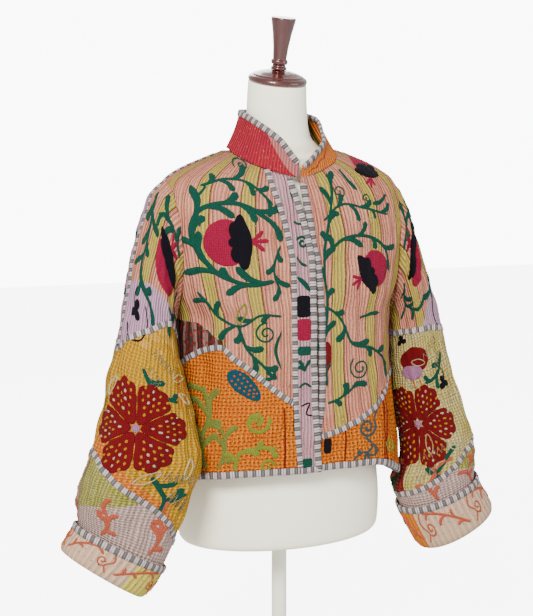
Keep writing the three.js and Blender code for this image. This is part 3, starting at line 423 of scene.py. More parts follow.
# A sleeve's surface: rings between its outer and inner side, which start at the armhole.
def sleevePoint(sign, around, along):
    around, along = spread(around, along)
    rows = sleeveSections[sign]
    c = np.cos(np.radians(around))
    s = np.sin(np.radians(around))
    power = 2 / 2.15
    cc = np.sign(c) * np.abs(c) ** power
    ss = np.sign(s) * np.abs(s) ** power

    def ring(place, fold):
        outX, outZ, inX, inZ, midY, depth = (
            read(rows, "index", place, name) for name in rows if name != "index"
        )
        grow = 1 + fold / depth
        x = mix(inX, outX, 0.5) + 0.5 * (outX - inX) * cc * grow
        z = mix(inZ, outZ, 0.5) + 0.5 * (outZ - inZ) * cc * grow
        return stack(x, midY - depth * ss * grow, z)

    settle = smooth(along, 0, 1.5) * (1 - smooth(along, 11, 12))
    fold = 1.5 * puckers(around * 1.25 + 90, along * 48 + 70 * sign)
    points = ring(along, addFolds(fold, sleeveFolds[sign], around, along) * settle)
    level = armMiddle + armHalf * c
    front = (around % 360) <= 180
    angle = np.where(front, armholeAngle(level, True), armholeAngle(level, False))
    armhole = bodyPoint(sign, angle, level)
    armhole[..., 0] *= sign
    away = (np.clip(1 - along / 1.6, 0, 1) ** 2)[..., None]
    points = points + (armhole - ring(0, 0)) * away
    points[..., 0] *= sign
    return points


def sleeveAt(sign, around, along):
    around, along = spread(around, along)
    points = sleevePoint(sign, around, along)
    return points, normalOf(sleevePoint, sign, around, np.clip(along, 0.05, 12.95), 0.6, 0.03)


def pathLengths(points, closed=False):
    if closed:
        points = np.concatenate([points, points[:1]])
    return np.concatenate([[0], np.cumsum(np.linalg.norm(np.diff(points, axis=0), axis=1))])


def pathTangents(points, closed=False):
    if closed:
        return unit(np.roll(points, -1, axis=0) - np.roll(points, 1, axis=0))
    tangent = np.empty_like(points)
    tangent[1:-1] = points[2:] - points[:-2]
    tangent[0] = points[1] - points[0]
    tangent[-1] = points[-1] - points[-2]
    return unit(tangent)


# Charts carry flat embroidery designs, in millimetres, onto the cloth. Each gives points and normals.
def signedAngle(level, x):
    return np.sign(x) * angleAtWidth(level, x)


def frontChart(sign):
    return lambda x, z: bodyAt(sign, angleAtWidth(z, x) * np.where(x * sign < 0, -1, 1), z)


def backChart(sign):
    return lambda x, z: bodyAt(sign, 180 - angleAtWidth(z, x), z)


# Lengths in millimetres down the middle of each sleeve
sleeveSteps = np.linspace(0, sleeveEnd, 105)
sleeveSpan = {}
for sign in (-1, 1):
    near, far = (sleevePoint(sign, around, sleeveSteps) for around in (90, 270))
    sleeveSpan[sign] = pathLengths(near * 0.5 + far * 0.5)
sleeveRound = 400
sleeveMiddle = 90


def sleeveChart(sign):
    def place(x, down):
        along = np.interp(down, sleeveSpan[sign], sleeveSteps)
        return sleeveAt(sign, sleeveMiddle - x / sleeveRound * 360, along)

    return place


def placeObject(name, data):
    thing = bpy.data.objects.new(name, data)
    bpy.context.scene.collection.objects.link(thing)
    return thing


def setUv(mesh, coords):
    corner = np.zeros(len(mesh.loops), dtype=np.int32)
    mesh.loops.foreach_get("vertex_index", corner)
    layer = mesh.uv_layers.new(name="cloth")
    layer.data.foreach_set("uv", coords[corner].ravel())


def makeMesh(name, points, faces, uv, material, outward=True):
    mesh = bpy.data.meshes.new(name)
    mesh.from_pydata((points * mm).tolist(), [], faces)
    setUv(mesh, uv * mm)
    if outward:
        work = bmesh.new()
        work.from_mesh(mesh)
        bmesh.ops.recalc_face_normals(work, faces=work.faces)
        work.to_mesh(mesh)
        work.free()
    mesh.shade_smooth()
    mesh.validate()
    mesh.materials.append(material)
    return placeObject(name, mesh)


def gridFaces(rows, columns, wrap=False, skip=0):
    i, j = np.meshgrid(np.arange(rows - 1), np.arange(columns if wrap else columns - 1), indexing="ij")
    a = i * columns + j
    b = i * columns + (j + 1) % columns
    return (np.stack([a, b, b + columns, a + columns], -1).reshape(-1, 4) + skip).tolist()


# The faces that close a wall between its outer and inner sides
def rimFaces(rows, columns, wrap, count):
    rims = [[(0, j) for j in range(columns)], [(rows - 1, j) for j in range(columns)]]
    if wrap:
        rims = [rim + rim[:1] for rim in rims]
    else:
        rims.append([(i, 0) for i in range(rows)])
        rims.append([(i, columns - 1) for i in range(rows)])
    faces = []
    for rim in rims:
        for (i, j), (k, m) in zip(rim, rim[1:]):
            a = i * columns + j
            b = k * columns + m
            faces.append([a, a + count, b + count, b])
    return faces


def loftMesh(name, loops, uv, material, closed=False):
    rows, columns = loops.shape[:2]
    points = loops.reshape(-1, 3)
    faces = gridFaces(rows, columns, True)
    last = (rows - 1) * columns
    if closed:
        for j in range(columns):
            k = (j + 1) % columns
            faces.append([last + j, last + k, k, j])
    else:
        faces.append(list(range(columns)))
        faces.append(list(range(last, rows * columns)))
    return makeMesh(name, points, faces, uv.reshape(-1, 2), material)


sheets = {}


def settlePiece(thing, slotName, node=None, on=None):
    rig.ride(thing, "root")
    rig.slot(thing, slotName)
    if node:
        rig.replaces(thing, node)
    if on:
        sheets[on]["trims"].append(thing)


# A sheet of cloth as a thin wall. Its flat size and area come from its rows of points.
def layCloth(node, cloth, slotName, grid, held, rests, wrap=False, thick=clothThick):
    points, normals, uv = grid
    rows, columns = points.shape[:2]
    count = rows * columns
    faces = gridFaces(rows, columns, wrap) + gridFaces(rows, columns, wrap, count)
    faces += rimFaces(rows, columns, wrap, count)
    both = np.concatenate([points.reshape(-1, 3), (points - normals * thick).reshape(-1, 3)])
    coords = np.concatenate([uv.reshape(-1, 2)] * 2)
    thing = makeMesh(node + "_cloth", both, faces, coords, cloths[cloth])
    stateCloth(thing, node, slotName, points, held, rests, wrap)


def stateCloth(thing, node, slotName, points, held, rests, wrap):
    settlePiece(thing, slotName, node)
    if wrap:
        points = np.concatenate([points, points[:, :1]], axis=1)
    a = points[1:, 1:] - points[:-1, :-1]
    b = points[1:, :-1] - points[:-1, 1:]
    area = float(np.linalg.norm(np.cross(a, b), axis=-1).sum() / 2) * mm * mm
    across, down = (
        float(np.linalg.norm(np.diff(points, axis=axis), axis=-1).sum(axis=axis).max() * mm)
        for axis in (1, 0)
    )
    facts = {"flat": (across, down), "held": held, "rests_on": rests, "area": min(area, across * down)}
    sheets[node] = {"thing": thing, "facts": facts, "trims": []}


# Materials
# Colours are given as the eye sees them. The view softens them, so they are deepened first.
def linear(colour):
    grey = sum(colour) / 3
    return [*[0.46 * max(0.0, grey + (c - grey) * 1.22) ** 2.2 for c in colour], 1.0]


def join(tree, source, target):
    source = getattr(source, "socket", source)
    if isinstance(source, bpy.types.NodeSocket):
        tree.links.new(source, target)
    else:
        target.default_value = source


def addNode(tree, kind, inputs=None, **settings):
    made = tree.nodes.new(kind)
    for name, value in settings.items():
        setattr(made, name, value)
    for name, value in (inputs or {}).items():
        join(tree, value, made.inputs[name])
    return made


# An output of a node that can be added, multiplied and so on. Each step makes a Math node.
class Value:
    def __init__(self, node, name):
        self.tree = node.id_data
        self.socket = node.outputs[name]

    def calc(self, operation, other=0.0, clamp=False):
        facts = {0: self, 1: other}
        made = addNode(self.tree, "ShaderNodeMath", facts, operation=operation, use_clamp=clamp)
        return Value(made, 0)

    def __add__(self, other):
        return self.calc("ADD", other)

    def __sub__(self, other):
        return self.calc("SUBTRACT", other)

    def __mul__(self, other):
        return self.calc("MULTIPLY", other)

    def __truediv__(self, other):
        return self.calc("DIVIDE", other)

    def __neg__(self):
        return self.calc("MULTIPLY", -1.0)

    def size(self):
        return self.calc("ABSOLUTE")

    def fract(self):
        return self.calc("FRACT")

    def under(self, other):
        return self.calc("LESS_THAN", other)

    def over(self, other):
        return self.calc("GREATER_THAN", other)


def noise(tree, vector, scale, detail=2, **more):
    facts = {"Vector": vector, "Scale": scale, "Detail": detail, **more}
    return Value(addNode(tree, "ShaderNodeTexNoise", facts), "Fac")


def split(tree, vector):
    made = addNode(tree, "ShaderNodeSeparateXYZ", {0: vector})
    return Value(made, "X"), Value(made, "Y")


def blendColour(tree, share, a, b, kind="MIX"):
    facts = {"Factor": share, 6: a, 7: b}
    return addNode(tree, "ShaderNodeMix", facts, data_type="RGBA", blend_type=kind).outputs[2]


valueSocket = "NodeSocketFloat"
socketKinds = {
    "Vector": "NodeSocketVector",
    "Geometry": "NodeSocketGeometry",
    "Seed": "NodeSocketInt",
    "Material": "NodeSocketMaterial",
}


def startGroup(name, inputs, outputs, kind="ShaderNodeTree"):
    tree = bpy.data.node_groups.new(name, kind)
    for way, labels in (("INPUT", inputs), ("OUTPUT", outputs)):
        for label in labels.split():
            socket = socketKinds.get(label, valueSocket)
            tree.interface.new_socket(name=label, in_out=way, socket_type=socket)
    return tree, tree.nodes.new("NodeGroupInput")


def finishGroup(tree, **results):
    addNode(tree, "NodeGroupOutput", results)
    return tree


# Rows of running stitches: a mask of short marks, rows stepped sideways
def makeStitchGroup():
    tree, given = startGroup("stitchRows", "Vector Row Pitch", "Mask Height")
    vector = given.outputs["Vector"]
    x, y = split(tree, vector)
    shift = noise(tree, vector, 38) * 0.006
    rowAt = (y + shift) / Value(given, "Row")
    pitchAt = (x + shift) / Value(given, "Pitch") + rowAt.calc("FLOOR") * 0.37
    alongMark = (pitchAt.fract() - 0.5).size()
    acrossMark = (rowAt.fract() - 0.5).size()
    mask = alongMark.under(0.26) * acrossMark.under(0.15)
    return finishGroup(tree, Mask=mask, Height=acrossMark * 2.0)


# Soft upright crinkles of quilted cotton with a fine weave
def makeCrinkleGroup():
    tree, given = startGroup("crinkle", "Vector Pitch", "Height Shade Weave")
    vector = given.outputs["Vector"]
    bend, patchy, weave = (noise(tree, vector, *facts) for facts in ((26, 3), (95, 5), (900, 2)))
    wave = ((split(tree, vector)[0] + bend * 0.007) * 6.2832 / Value(given, "Pitch")).calc("SINE")
    ridge = (wave + 1.0) * patchy
    return finishGroup(tree, Height=ridge + weave * 0.35, Shade=ridge, Weave=weave)


# One upright band that repeats: 1 inside it, and a thin line at both of its edges
def makeBandGroup():
    tree, given = startGroup("uprightBands", "Vector Period Offset Width", "Band Edge")
    period = Value(given, "Period")
    across = split(tree, given.outputs["Vector"])[0] - Value(given, "Offset")
    distance = ((across / period + 100.0).fract() - 0.5).size() * period
    half = Value(given, "Width") * 0.5
    return finishGroup(tree, Band=distance.under(half), Edge=(distance - half).size().under(0.0007))


stitchGroup = makeStitchGroup()
crinkleGroup = makeCrinkleGroup()
bandGroup = makeBandGroup()


def useGroup(tree, group, **given):
    facts = {name.capitalize(): value for name, value in given.items()}
    return addNode(tree, "ShaderNodeGroup", facts, node_tree=group)


def startMaterial(name, roughness, shine=0.5):
    material = bpy.data.materials.new(name)
    material.use_nodes = True
    tree = material.node_tree
    shader = tree.nodes["Principled BSDF"]
    shader.inputs["Roughness"].default_value = roughness
    shader.inputs["Specular IOR Level"].default_value = shine
    return material, tree, shader


def clothUv(tree):
    return addNode(tree, "ShaderNodeUVMap", uv_map="cloth").outputs["UV"]


def finishMaterial(tree, shader, colour, height, depth, light=None, strength=1.0):
    if light:
        grey = addNode(tree, "ShaderNodeCombineColor", {"Red": light, "Green": light, "Blue": light})
        colour = blendColour(tree, 1.0, colour, grey.outputs["Color"], "MULTIPLY")
    join(tree, colour, shader.inputs["Base Color"])
    facts = {"Strength": strength, "Distance": depth, "Height": height}
    made = addNode(tree, "ShaderNodeBump", facts)
    tree.links.new(made.outputs["Normal"], shader.inputs["Normal"])


# A band has its period, offset and width in metres, a fill and a colour for its edge lines.
def addBand(tree, uv, colour, period, offset, width, fill=None, line=None):
    made = useGroup(tree, bandGroup, vector=uv, period=period, offset=offset, width=width)
    if fill:
        colour = blendColour(tree, made.outputs["Band"], colour, linear(fill))
    if line:
        colour = blendColour(tree, made.outputs["Edge"], colour, linear(line))
    return colour


# A zone is the part of a patch beyond a straight line: u times x plus v times y over a limit.
def addZone(tree, uv, colour, u, v, limit, fill, speckle=None):
    x, y = split(tree, uv)
    inside = (x * u + y * v).over(limit)
    if speckle:
        inside = inside * noise(tree, uv, speckle).over(0.5)
    return blendColour(tree, inside, colour, linear(fill))


# A stitch has its row, pitch, strength and colour, and a speckle its scale, limit, share and fill.
def clothMaterial(
    name, base, second, bands=(), stitch=None, pitch=0.0055, shade=0.42, zones=(), speckle=None
):
    material, tree, shader = startMaterial(name, 0.92, 0.12)
    uv = clothUv(tree)
    large = noise(tree, uv, 17, 5, Roughness=0.65)
    share = large.calc("SUBTRACT", 0.42, True).calc("MULTIPLY", 4.0, True)
    colour = blendColour(tree, share, linear(base), linear(second))
    for band in bands:
        colour = addBand(tree, uv, colour, *band)
    if speckle:
        scale, limit, amount, fill = speckle
        dark = noise(tree, uv, scale).over(limit) * amount
        colour = blendColour(tree, dark, colour, linear(fill))
    for zone in zones:
        colour = addZone(tree, uv, colour, *zone)
    crinkle = useGroup(tree, crinkleGroup, vector=uv, pitch=pitch)
    height = Value(crinkle, "Height")
    if stitch:
        row, step, strength, fill = stitch
        rows = useGroup(tree, stitchGroup, vector=uv, row=row, pitch=step)
        colour = blendColour(tree, Value(rows, "Mask") * strength, colour, linear(fill))
        height = height - Value(rows, "Height") * 0.8
    light = Value(crinkle, "Shade") * shade + (1.0 - shade * 0.75)
    light = light * (Value(crinkle, "Weave") * 0.9 + 0.55)
    finishMaterial(tree, shader, colour, height, 0.0019, light)
    return material


def tapeMaterial():
    material, tree, shader = startMaterial("stripedTape", 0.85)
    uv = clothUv(tree)
    colour = linear((0.93, 0.88, 0.88))
    for offset, width, fill in (
        (0.0, 0.0070, (0.40, 0.38, 0.38)),
        (0.0, 0.0012, (0.56, 0.54, 0.53)),
        (0.00675, 0.0010, (0.66, 0.52, 0.54)),
    ):
        colour = addBand(tree, uv, colour, 0.0135, offset, width, fill)
    crinkle = useGroup(tree, crinkleGroup, vector=uv, pitch=0.004)
    light = Value(crinkle, "Shade") * 0.25 + 0.78
    finishMaterial(tree, shader, colour, Value(crinkle, "Height"), 0.0005, light)
    return material


# Embroidery thread: chain stitches that run along each ribbon
def threadMaterial(name, colour):
    material, tree, shader = startMaterial(name, 0.75, 0.12)
    uv = clothUv(tree)
    x, y = split(tree, uv)
    inRow = ((y / 0.0024).fract() - 0.5).size()
    chain = ((x + inRow * 0.0024) * (6.2832 / 0.0026)).calc("SINE") * 0.5 + 0.5
    grain = noise(tree, uv, 420)
    valley = -inRow + 1.15
    light = (chain * 0.5 + 0.62) * valley * (grain + 0.5)
    finishMaterial(tree, shader, linear(colour), chain * valley + grain, 0.0009, light)
    return material


def plainMaterial(
    name, colour, roughness, coat=0.0, scale=500, stretch=(1, 1, 1), dark=0.93, depth=0.0002
):
    material, tree, shader = startMaterial(name, roughness)
    shader.inputs["Coat Weight"].default_value = coat
    shader.inputs["Coat Roughness"].default_value = 0.08
    place = addNode(tree, "ShaderNodeTexCoord").outputs["Object"]
    shape = addNode(tree, "ShaderNodeMapping", {"Vector": place, "Scale": stretch})
    grain = noise(tree, shape.outputs["Vector"], scale, 5)
    mixed = blendColour(tree, grain, linear([c * dark for c in colour]), linear(colour))
    finishMaterial(tree, shader, mixed, grain, depth, None, 0.5)
    return material


thinBand = (0.022, 0.004, 0.0036, None, (0.72, 0.46, 0.40))
yellowBand = (0.066, 0.012, 0.021, (0.83, 0.74, 0.42), (0.36, 0.24, 0.16))
specks = (330, 0.63, 0.5, (0.42, 0.28, 0.20))
salmonLook = {
    "base": (0.97, 0.70, 0.60),
    "second": (0.89, 0.60, 0.52),
    "bands": [thinBand, yellowBand],
    "speckle": specks,
    "shade": 0.5,
}
cuffLook = {"base": (0.95, 0.82, 0.70), "second": (0.93, 0.79, 0.69), "pitch": 0.009, "shade": 0.25}
clothLooks = {
    "salmon": salmonLook,
    "orange": {
        "base": (0.94, 0.55, 0.20),
        "second": (0.90, 0.49, 0.19),
        "stitch": (0.0056, 0.0068, 0.85, (0.46, 0.18, 0.08)),
        "pitch": 0.0062,
    },
    "pale": {
        "base": (0.89, 0.73, 0.76),
        "second": (0.86, 0.66, 0.69),
        "bands": [(0.031, 0.01, 0.0075, None, (0.60, 0.46, 0.50))],
        "speckle": specks,
        "shade": 0.45,
    },
    "rightShoulder": {
        **salmonLook,
        "zones": [(0.3, 1.0, 0.118, (0.88, 0.72, 0.82)), (1.0, 0.3, 0.255, (0.86, 0.70, 0.76))],
    },
    "leftShoulder": {
        **salmonLook,
        "zones": [(-0.6, 1.0, 0.075, (0.88, 0.73, 0.80)), (1.0, 0.3, 0.255, (0.88, 0.71, 0.74))],
    },
    "mustard": {
        "base": (0.80, 0.59, 0.10),
        "second": (0.86, 0.66, 0.20),
        "stitch": (0.0046, 0.0058, 0.65, (0.97, 0.84, 0.56)),
        "pitch": 0.007,
        "zones": [
            (-0.9, 1.0, 0.292, (0.88, 0.50, 0.20)),
            (-0.9, 1.0, 0.345, (0.90, 0.80, 0.62), 60),
            (0.0, -1.0, -0.178, (0.93, 0.72, 0.36), 40),
        ],
    },
    "cream": {
        "base": (0.91, 0.85, 0.62),
        "second": (0.84, 0.77, 0.42),
        "stitch": (0.0052, 0.0066, 0.6, (0.60, 0.42, 0.30)),
        "pitch": 0.007,
        "zones": [
            (1.0, 0.2, 0.262, (0.52, 0.16, 0.18)),
            (1.0, 0.3, 0.318, (0.28, 0.34, 0.26)),
            (1.0, 0.3, 0.372, (0.84, 0.66, 0.30)),
        ],
    },
    "olive": {
        "base": (0.70, 0.68, 0.36),
        "second": (0.80, 0.76, 0.52),
        "stitch": (0.0044, 0.0052, 0.45, (0.40, 0.40, 0.18)),
        "pitch": 0.006,
        "zones": [(0.35, 1.0, 0.432, (0.90, 0.78, 0.75)), (1.0, 0.0, 0.225, (0.82, 0.66, 0.56))],
        "speckle": (240, 0.58, 0.45, (0.88, 0.86, 0.66)),
    },
    "cuffPatched": {
        **cuffLook,
        "zones": [(1.0, 0.0, 0.112, (0.92, 0.86, 0.46)), (1.0, 0.0, 0.262, (0.88, 0.52, 0.24))],
    },
    "cuffLeft": {
        **cuffLook,
        "zones": [
            (1.0, 0.0, 0.172, (0.90, 0.54, 0.22)),
            (1.0, 0.0, 0.205, (0.20, 0.42, 0.42)),
            (1.0, 0.0, 0.285, (0.90, 0.76, 0.60)),
        ],
    },
    "rose": {
        "base": (0.72, 0.24, 0.29),
        "second": (0.67, 0.20, 0.29),
        "speckle": (260, 0.66, 0.6, (0.90, 0.66, 0.60)),
        "shade": 0.5,
        "zones": [(-1.0, 1.1, -0.005, (0.84, 0.55, 0.54))],
    },
    "apricot": {"base": (0.93, 0.58, 0.32), "second": (0.90, 0.50, 0.26), "shade": 0.34},
    "dark": {
        "base": (0.16, 0.15, 0.18),
        "second": (0.40, 0.38, 0.16),
        "bands": [(0.013, 0.0, 0.0045, (0.52, 0.50, 0.24))],
    },
    "gusset": {
        "base": (0.34, 0.20, 0.18),
        "second": (0.22, 0.24, 0.20),
        "bands": [(0.021, 0.0, 0.009, (0.62, 0.50, 0.47))],
        "pitch": 0.008,
        "speckle": (150, 0.56, 0.9, (0.60, 0.16, 0.18)),
    },
}
cloths = {name: clothMaterial(name + "Quilt", **look) for name, look in clothLooks.items()}
stripedTape = tapeMaterial()
threadColours = {
    "green": (0.07, 0.35, 0.29),
    "sage": (0.56, 0.60, 0.32),
    "lime": (0.62, 0.66, 0.30),
    "crimson": (0.68, 0.16, 0.31),
    "navy": (0.06, 0.0, 0.10),
    "maroon": (0.50, 0.08, 0.12),
    "mauve": (0.80, 0.58, 0.72),
    "ivory": (0.94, 0.88, 0.70),
    "teal": (0.16, 0.36, 0.42),
    "slate": (0.33, 0.40, 0.40),
    "coral": (0.87, 0.48, 0.38),
    "tangerine": (0.90, 0.45, 0.18),
    "charcoal": (0.16, 0.14, 0.16),
    "peach": (0.96, 0.80, 0.70),
    "rust": (0.52, 0.20, 0.08),
    "ochre": (0.86, 0.64, 0.20),
}
threads = {name: threadMaterial(name + "Thread", c) for name, c in threadColours.items()}
formCloth = plainMaterial("formCover", (1.38, 1.36, 1.25), 0.75, 0.0, 1600, dark=0.965, depth=0.0001)
darkWood = plainMaterial("darkWood", (0.40, 0.13, 0.07), 0.28, 0.8, 26, (6, 6, 1), 0.45, 0.00005)
standPaint = plainMaterial("standPaint", (1.3, 1.28, 1.2), 0.45)
print("materials ready")


# Body panels
shoulderLevels = np.linspace(shoulderZ, 914.5, 13)[1:]
armLevels = armMiddle - armHalf * np.cos(np.pi * np.arange(41) / 40)
arcAngles = np.linspace(0, 180, 181)
arcLengths = pathLengths(bodyPoint(-1, arcAngles, 640))
sideNames = {-1: "right", 1: "left"}
bandHidden = bandWidth - tapeWidth


def arcAt(angle):
    return np.sign(angle) * np.interp(np.abs(angle), arcAngles, arcLengths)


def seamLevel(sign, angle):
    return read(bodySeams[sign], "angle", angle, "z")


def edgeX(sign, level):
    return read(frontEdges[sign], "z", level, "x") * sign


def rowEnds(sign, level, front):
    end = armholeAngle(level, front) if underarmZ < level < shoulderZ else 90
    if not front:
        start = 180.0
        if level > neckBackZ:
            start = 180 - angleAtWidth(level, neckWidth(level, False))
        return start, end
    x = edgeX(sign, level) + (bandHidden if sign < 0 else 0)
    if level > neckFrontZ:
        x = max(x, neckWidth(level, True))
    return signedAngle(level, x), end


def panelGrid(sign, levelRows, columns, front):
    angles = []
    levels = []
    for base, levelAt in levelRows:
        start, end = rowEnds(sign, base, front)
        angles.append(np.linspace(start, end, columns + 1))
        levels.append(levelAt(np.abs(angles[-1])) + 0 * angles[-1])
    angles = np.array(angles)
    levels = np.array(levels)
    return *bodyAt(sign, angles, levels), stack(sign * arcAt(angles), levels)


def lowerRows(sign):
    return [
        (mix(hemZ, seamLevel(sign, 90), t), lambda angle, t=t: mix(hemZ, seamLevel(sign, angle), t))
        for t in np.linspace(0, 1, 45)
    ]


def upperRows(sign):
    rows = [
        (
            mix(seamLevel(sign, 90), underarmZ, t),
            lambda angle, t=t: mix(seamLevel(sign, angle), underarmZ, t),
        )
        for t in np.linspace(0, 1, 37)[:-1]
    ]
    return rows + [(level, lambda angle, level=level: level) for level in [*armLevels, *shoulderLevels]]


def buildBody():
    for sign in (-1, 1):
        for front in (True, False):
            place = "front" if front else "back"
            for part, rows, cloth in (("lower", lowerRows, "orange"), ("upper", upperRows, "salmon")):
                node = f"{place}_{sideNames[sign]}_{part}"
                grid = panelGrid(sign, rows(sign), 72, front)
                layCloth(node, cloth, "patch_" + cloth, grid, "hung", ["form_torso"])


# Tapes lie on the cloth, and bindings fold round its edge.
def trimAlong(node, on, path, across, profile, closed=False, replaced=True):
    points, normals = path
    offsets, heights = np.array(profile, dtype=float).T
    loops = (
        points[:, None]
        + across[:, None] * offsets[None, :, None]
        + normals[:, None] * heights[None, :, None]
    )
    along = pathLengths(points, closed)[: len(points)]
    uv = stack(along[:, None], offsets[None])
    thing = loftMesh(node + "_trim", loops, uv, stripedTape, closed)
    settlePiece(thing, "tape", node if replaced else None, on)


def layTape(node, on, path, closed=False, lift=0.4):
    across = unit(np.cross(pathTangents(path[0], closed), path[1]))
    half = tapeWidth / 2
    side = lift + tapeThick * 0.45
    top = lift + tapeThick
    profile = [(-half, lift - 0.5), (half, lift - 0.5), (half, side), (half * 0.8, top * 0.97)]
    profile += [(0, top), (-half * 0.8, top * 0.97), (-half, side)]
    trimAlong(node, on, path, across, profile, closed)


def squareTo(points, inward, closed=False):
    tangent = pathTangents(points, closed)
    return unit(inward - tangent * (inward * tangent).sum(-1, keepdims=True))


def bindEdge(node, on, points, normals, inward, width=tapeWidth, replaced=True):
    out = 1.7
    low = -clothThick
    profile = [
        (width, 0.35), (width, out * 0.75), (width * 0.5, out * 1.05), (0.5, out),
        (-out * 0.9, out * 0.55), (-out * 1.25, low / 2), (-out * 0.9, low - out * 0.55),
        (0.5, low - out), (width, low - out * 0.75), (width, low - 0.35), (-0.3, low - 0.3), (-0.3, 0.3),
    ]
    trimAlong(node, on, (points, normals), squareTo(points, inward), profile, False, replaced)


bandLift = 1.4


def neckTop(x):
    share = (np.arcsin(np.clip(x / neckSideX, 0, 1)) / (math.pi / 2)) ** neckCurveFront
    return mix(neckFrontZ, neckSideZ, share)


# The points of a front's edge, with normals and the way into the cloth
def frontEdgePath(sign, low, high):
    level = np.linspace(low, high, 190)
    x = edgeX(sign, level)
    points, normals = bodyAt(sign, signedAngle(level, x), level)
    nextPoints, _ = bodyAt(sign, signedAngle(level, x + 10), level)
    return points, normals, unit(nextPoints - points)


def buildBand():
    across = (bandHidden + 1.5) * np.linspace(1, 0, 17)
    tops = neckTop(edgeX(-1, neckFrontZ) + across) - 1
    levels = mix(hemZ, tops[None], np.linspace(0, 1, 190)[:, None])
    place = across[None] + edgeX(-1, levels)
    points, normals = bodyAt(-1, signedAngle(levels, place), levels)
    points = points + normals * bandLift
    grid = points, normals, stack(place, levels)
    layCloth("band", "pale", "patch_pale", grid, "hung", ["front_right_upper"])
    edge, edgeNormals, inward = frontEdgePath(-1, hemZ, neckFrontZ - 1)
    bindEdge("band_edge_binding", "band", edge + edgeNormals * bandLift, edgeNormals, inward)
    layTape("band_inner_tape", "band", (points[4:, 0], normals[4:, 0]))
    hem, hemNormals = bodyAt(-1, signedAngle(hemZ, place[0]), hemZ)
    upward = np.tile([0.0, 0.0, 1.0], (17, 1))
    hem = hem + hemNormals * bandLift
    bindEdge("band_hem", "band", hem, hemNormals, upward, tapeWidth - 1, False)


def buildEdges():
    path = frontEdgePath(1, hemZ + 11, neckFrontZ - 8)
    bindEdge("left_edge_binding", "front_left_upper", *path)
    startX = {-1: edgeX(-1, hemZ) + bandHidden + 2, 1: 2}
    for sign, side in sideNames.items():
        angle = np.linspace(signedAngle(hemZ, startX[sign]), 179.7, 260)
        points, normals = bodyAt(sign, angle, hemZ)
        above, _ = bodyAt(sign, angle, hemZ + 10)
        path = points, normals, unit(above - points)
        bindEdge(f"hem_binding_{side}", f"front_{side}_lower", *path)


def buildBodyTapes():
    for sign, side in sideNames.items():
        level = seamLevel(sign, 10)
        x = edgeX(sign, level) + (bandWidth - tapeWidth / 2 if sign < 0 else tapeWidth)
        for place, start, end in (("front", signedAngle(level, x), 89.5), ("back", 90.5, 179.7)):
            angle = np.linspace(start, end, 150)
            path = bodyAt(sign, angle, seamLevel(sign, np.abs(angle)))
            layTape(f"{place}_{side}_tape", f"{place}_{side}_upper", path)


def buildGussets():
    cuts = {-1: (45, 120, 650, 8), 1: (67.5, 120, 606, 10)}
    for sign, (start, end, top, rise) in cuts.items():
        angle = np.linspace(start, end, 61)
        low = seamLevel(sign, angle) + tapeWidth / 2 - 1
        inside = np.minimum(angle - start, end - angle) / 22
        high = mix(low + rise, top, smooth(inside, 0, 1))
        levels = mix(low[None], high[None], np.linspace(0, 1, 25)[:, None])
        points, normals = bodyAt(sign, angle[None], levels)
        grid = points + normals * 0.9, normals, stack(arcAt(angle)[None], levels)
        side = sideNames[sign]
        rests = [f"front_{side}_upper"]
        layCloth(f"gusset_{side}", "gusset", "gusset", grid, "laid", rests, thick=1.1)


# Sleeves
def sleeveCloth(sign, name, start, end, rows, cloth, slotName):
    side = sideNames[sign]
    around = np.arange(168) * 360 / 168
    along = mix(start(around)[None], end(around)[None], np.linspace(0, 1, rows)[:, None])
    down = np.interp(along, sleeveSteps, sleeveSpan[sign])
    grid = *sleeveAt(sign, around[None], along), stack(around[None] / 360 * sleeveRound, down)
    rests = ["form_torso"] if name == "upper" else [f"sleeve_{side}_upper"]
    layCloth(f"sleeve_{side}_{name}", cloth, slotName, grid, "hung", rests, True)


sleeveLooks = {
    -1: (("rightShoulder", "patch_pale"), ("mustard", "patch_mustard")),
    1: (("leftShoulder", "patch_salmon"), ("cream", "patch_cream")),
}


def buildSleeve(sign):
    side = sideNames[sign]

    def seam(name):
        return lambda around: read(sleeveSeams[(sign, name)], "angle", around, "along")

    def level(value):
        return lambda around: value + 0 * around

    upper, middle = sleeveLooks[sign]
    sleeveCloth(sign, "upper", level(0), seam("upper"), 64, *upper)
    sleeveCloth(sign, "middle", seam("upper"), seam("lower"), 64, *middle)
    sleeveCloth(sign, "lower", seam("lower"), level(sleeveEnd), 48, "olive", "patch_olive")
    around = np.arange(240) * 1.5
    for name in ("upper", "lower"):
        path = sleeveAt(sign, around, seam(name)(around))
        layTape(f"sleeve_{side}_{name}_tape", f"sleeve_{side}_middle", path, True)
    buildCuff(sign, around)
    stop = seam("upper")(0.0) - 0.12
    first = bodyAt(sign, 90, np.linspace(909, 870, 24))
    second = sleeveAt(sign, 0, np.linspace(0.12, stop, 110))
    path = [np.concatenate(parts) for parts in zip(first, second)]
    layTape(f"shoulder_{side}_tape", f"sleeve_{side}_upper", path, False, 0.8)


cuffEase = 2.8


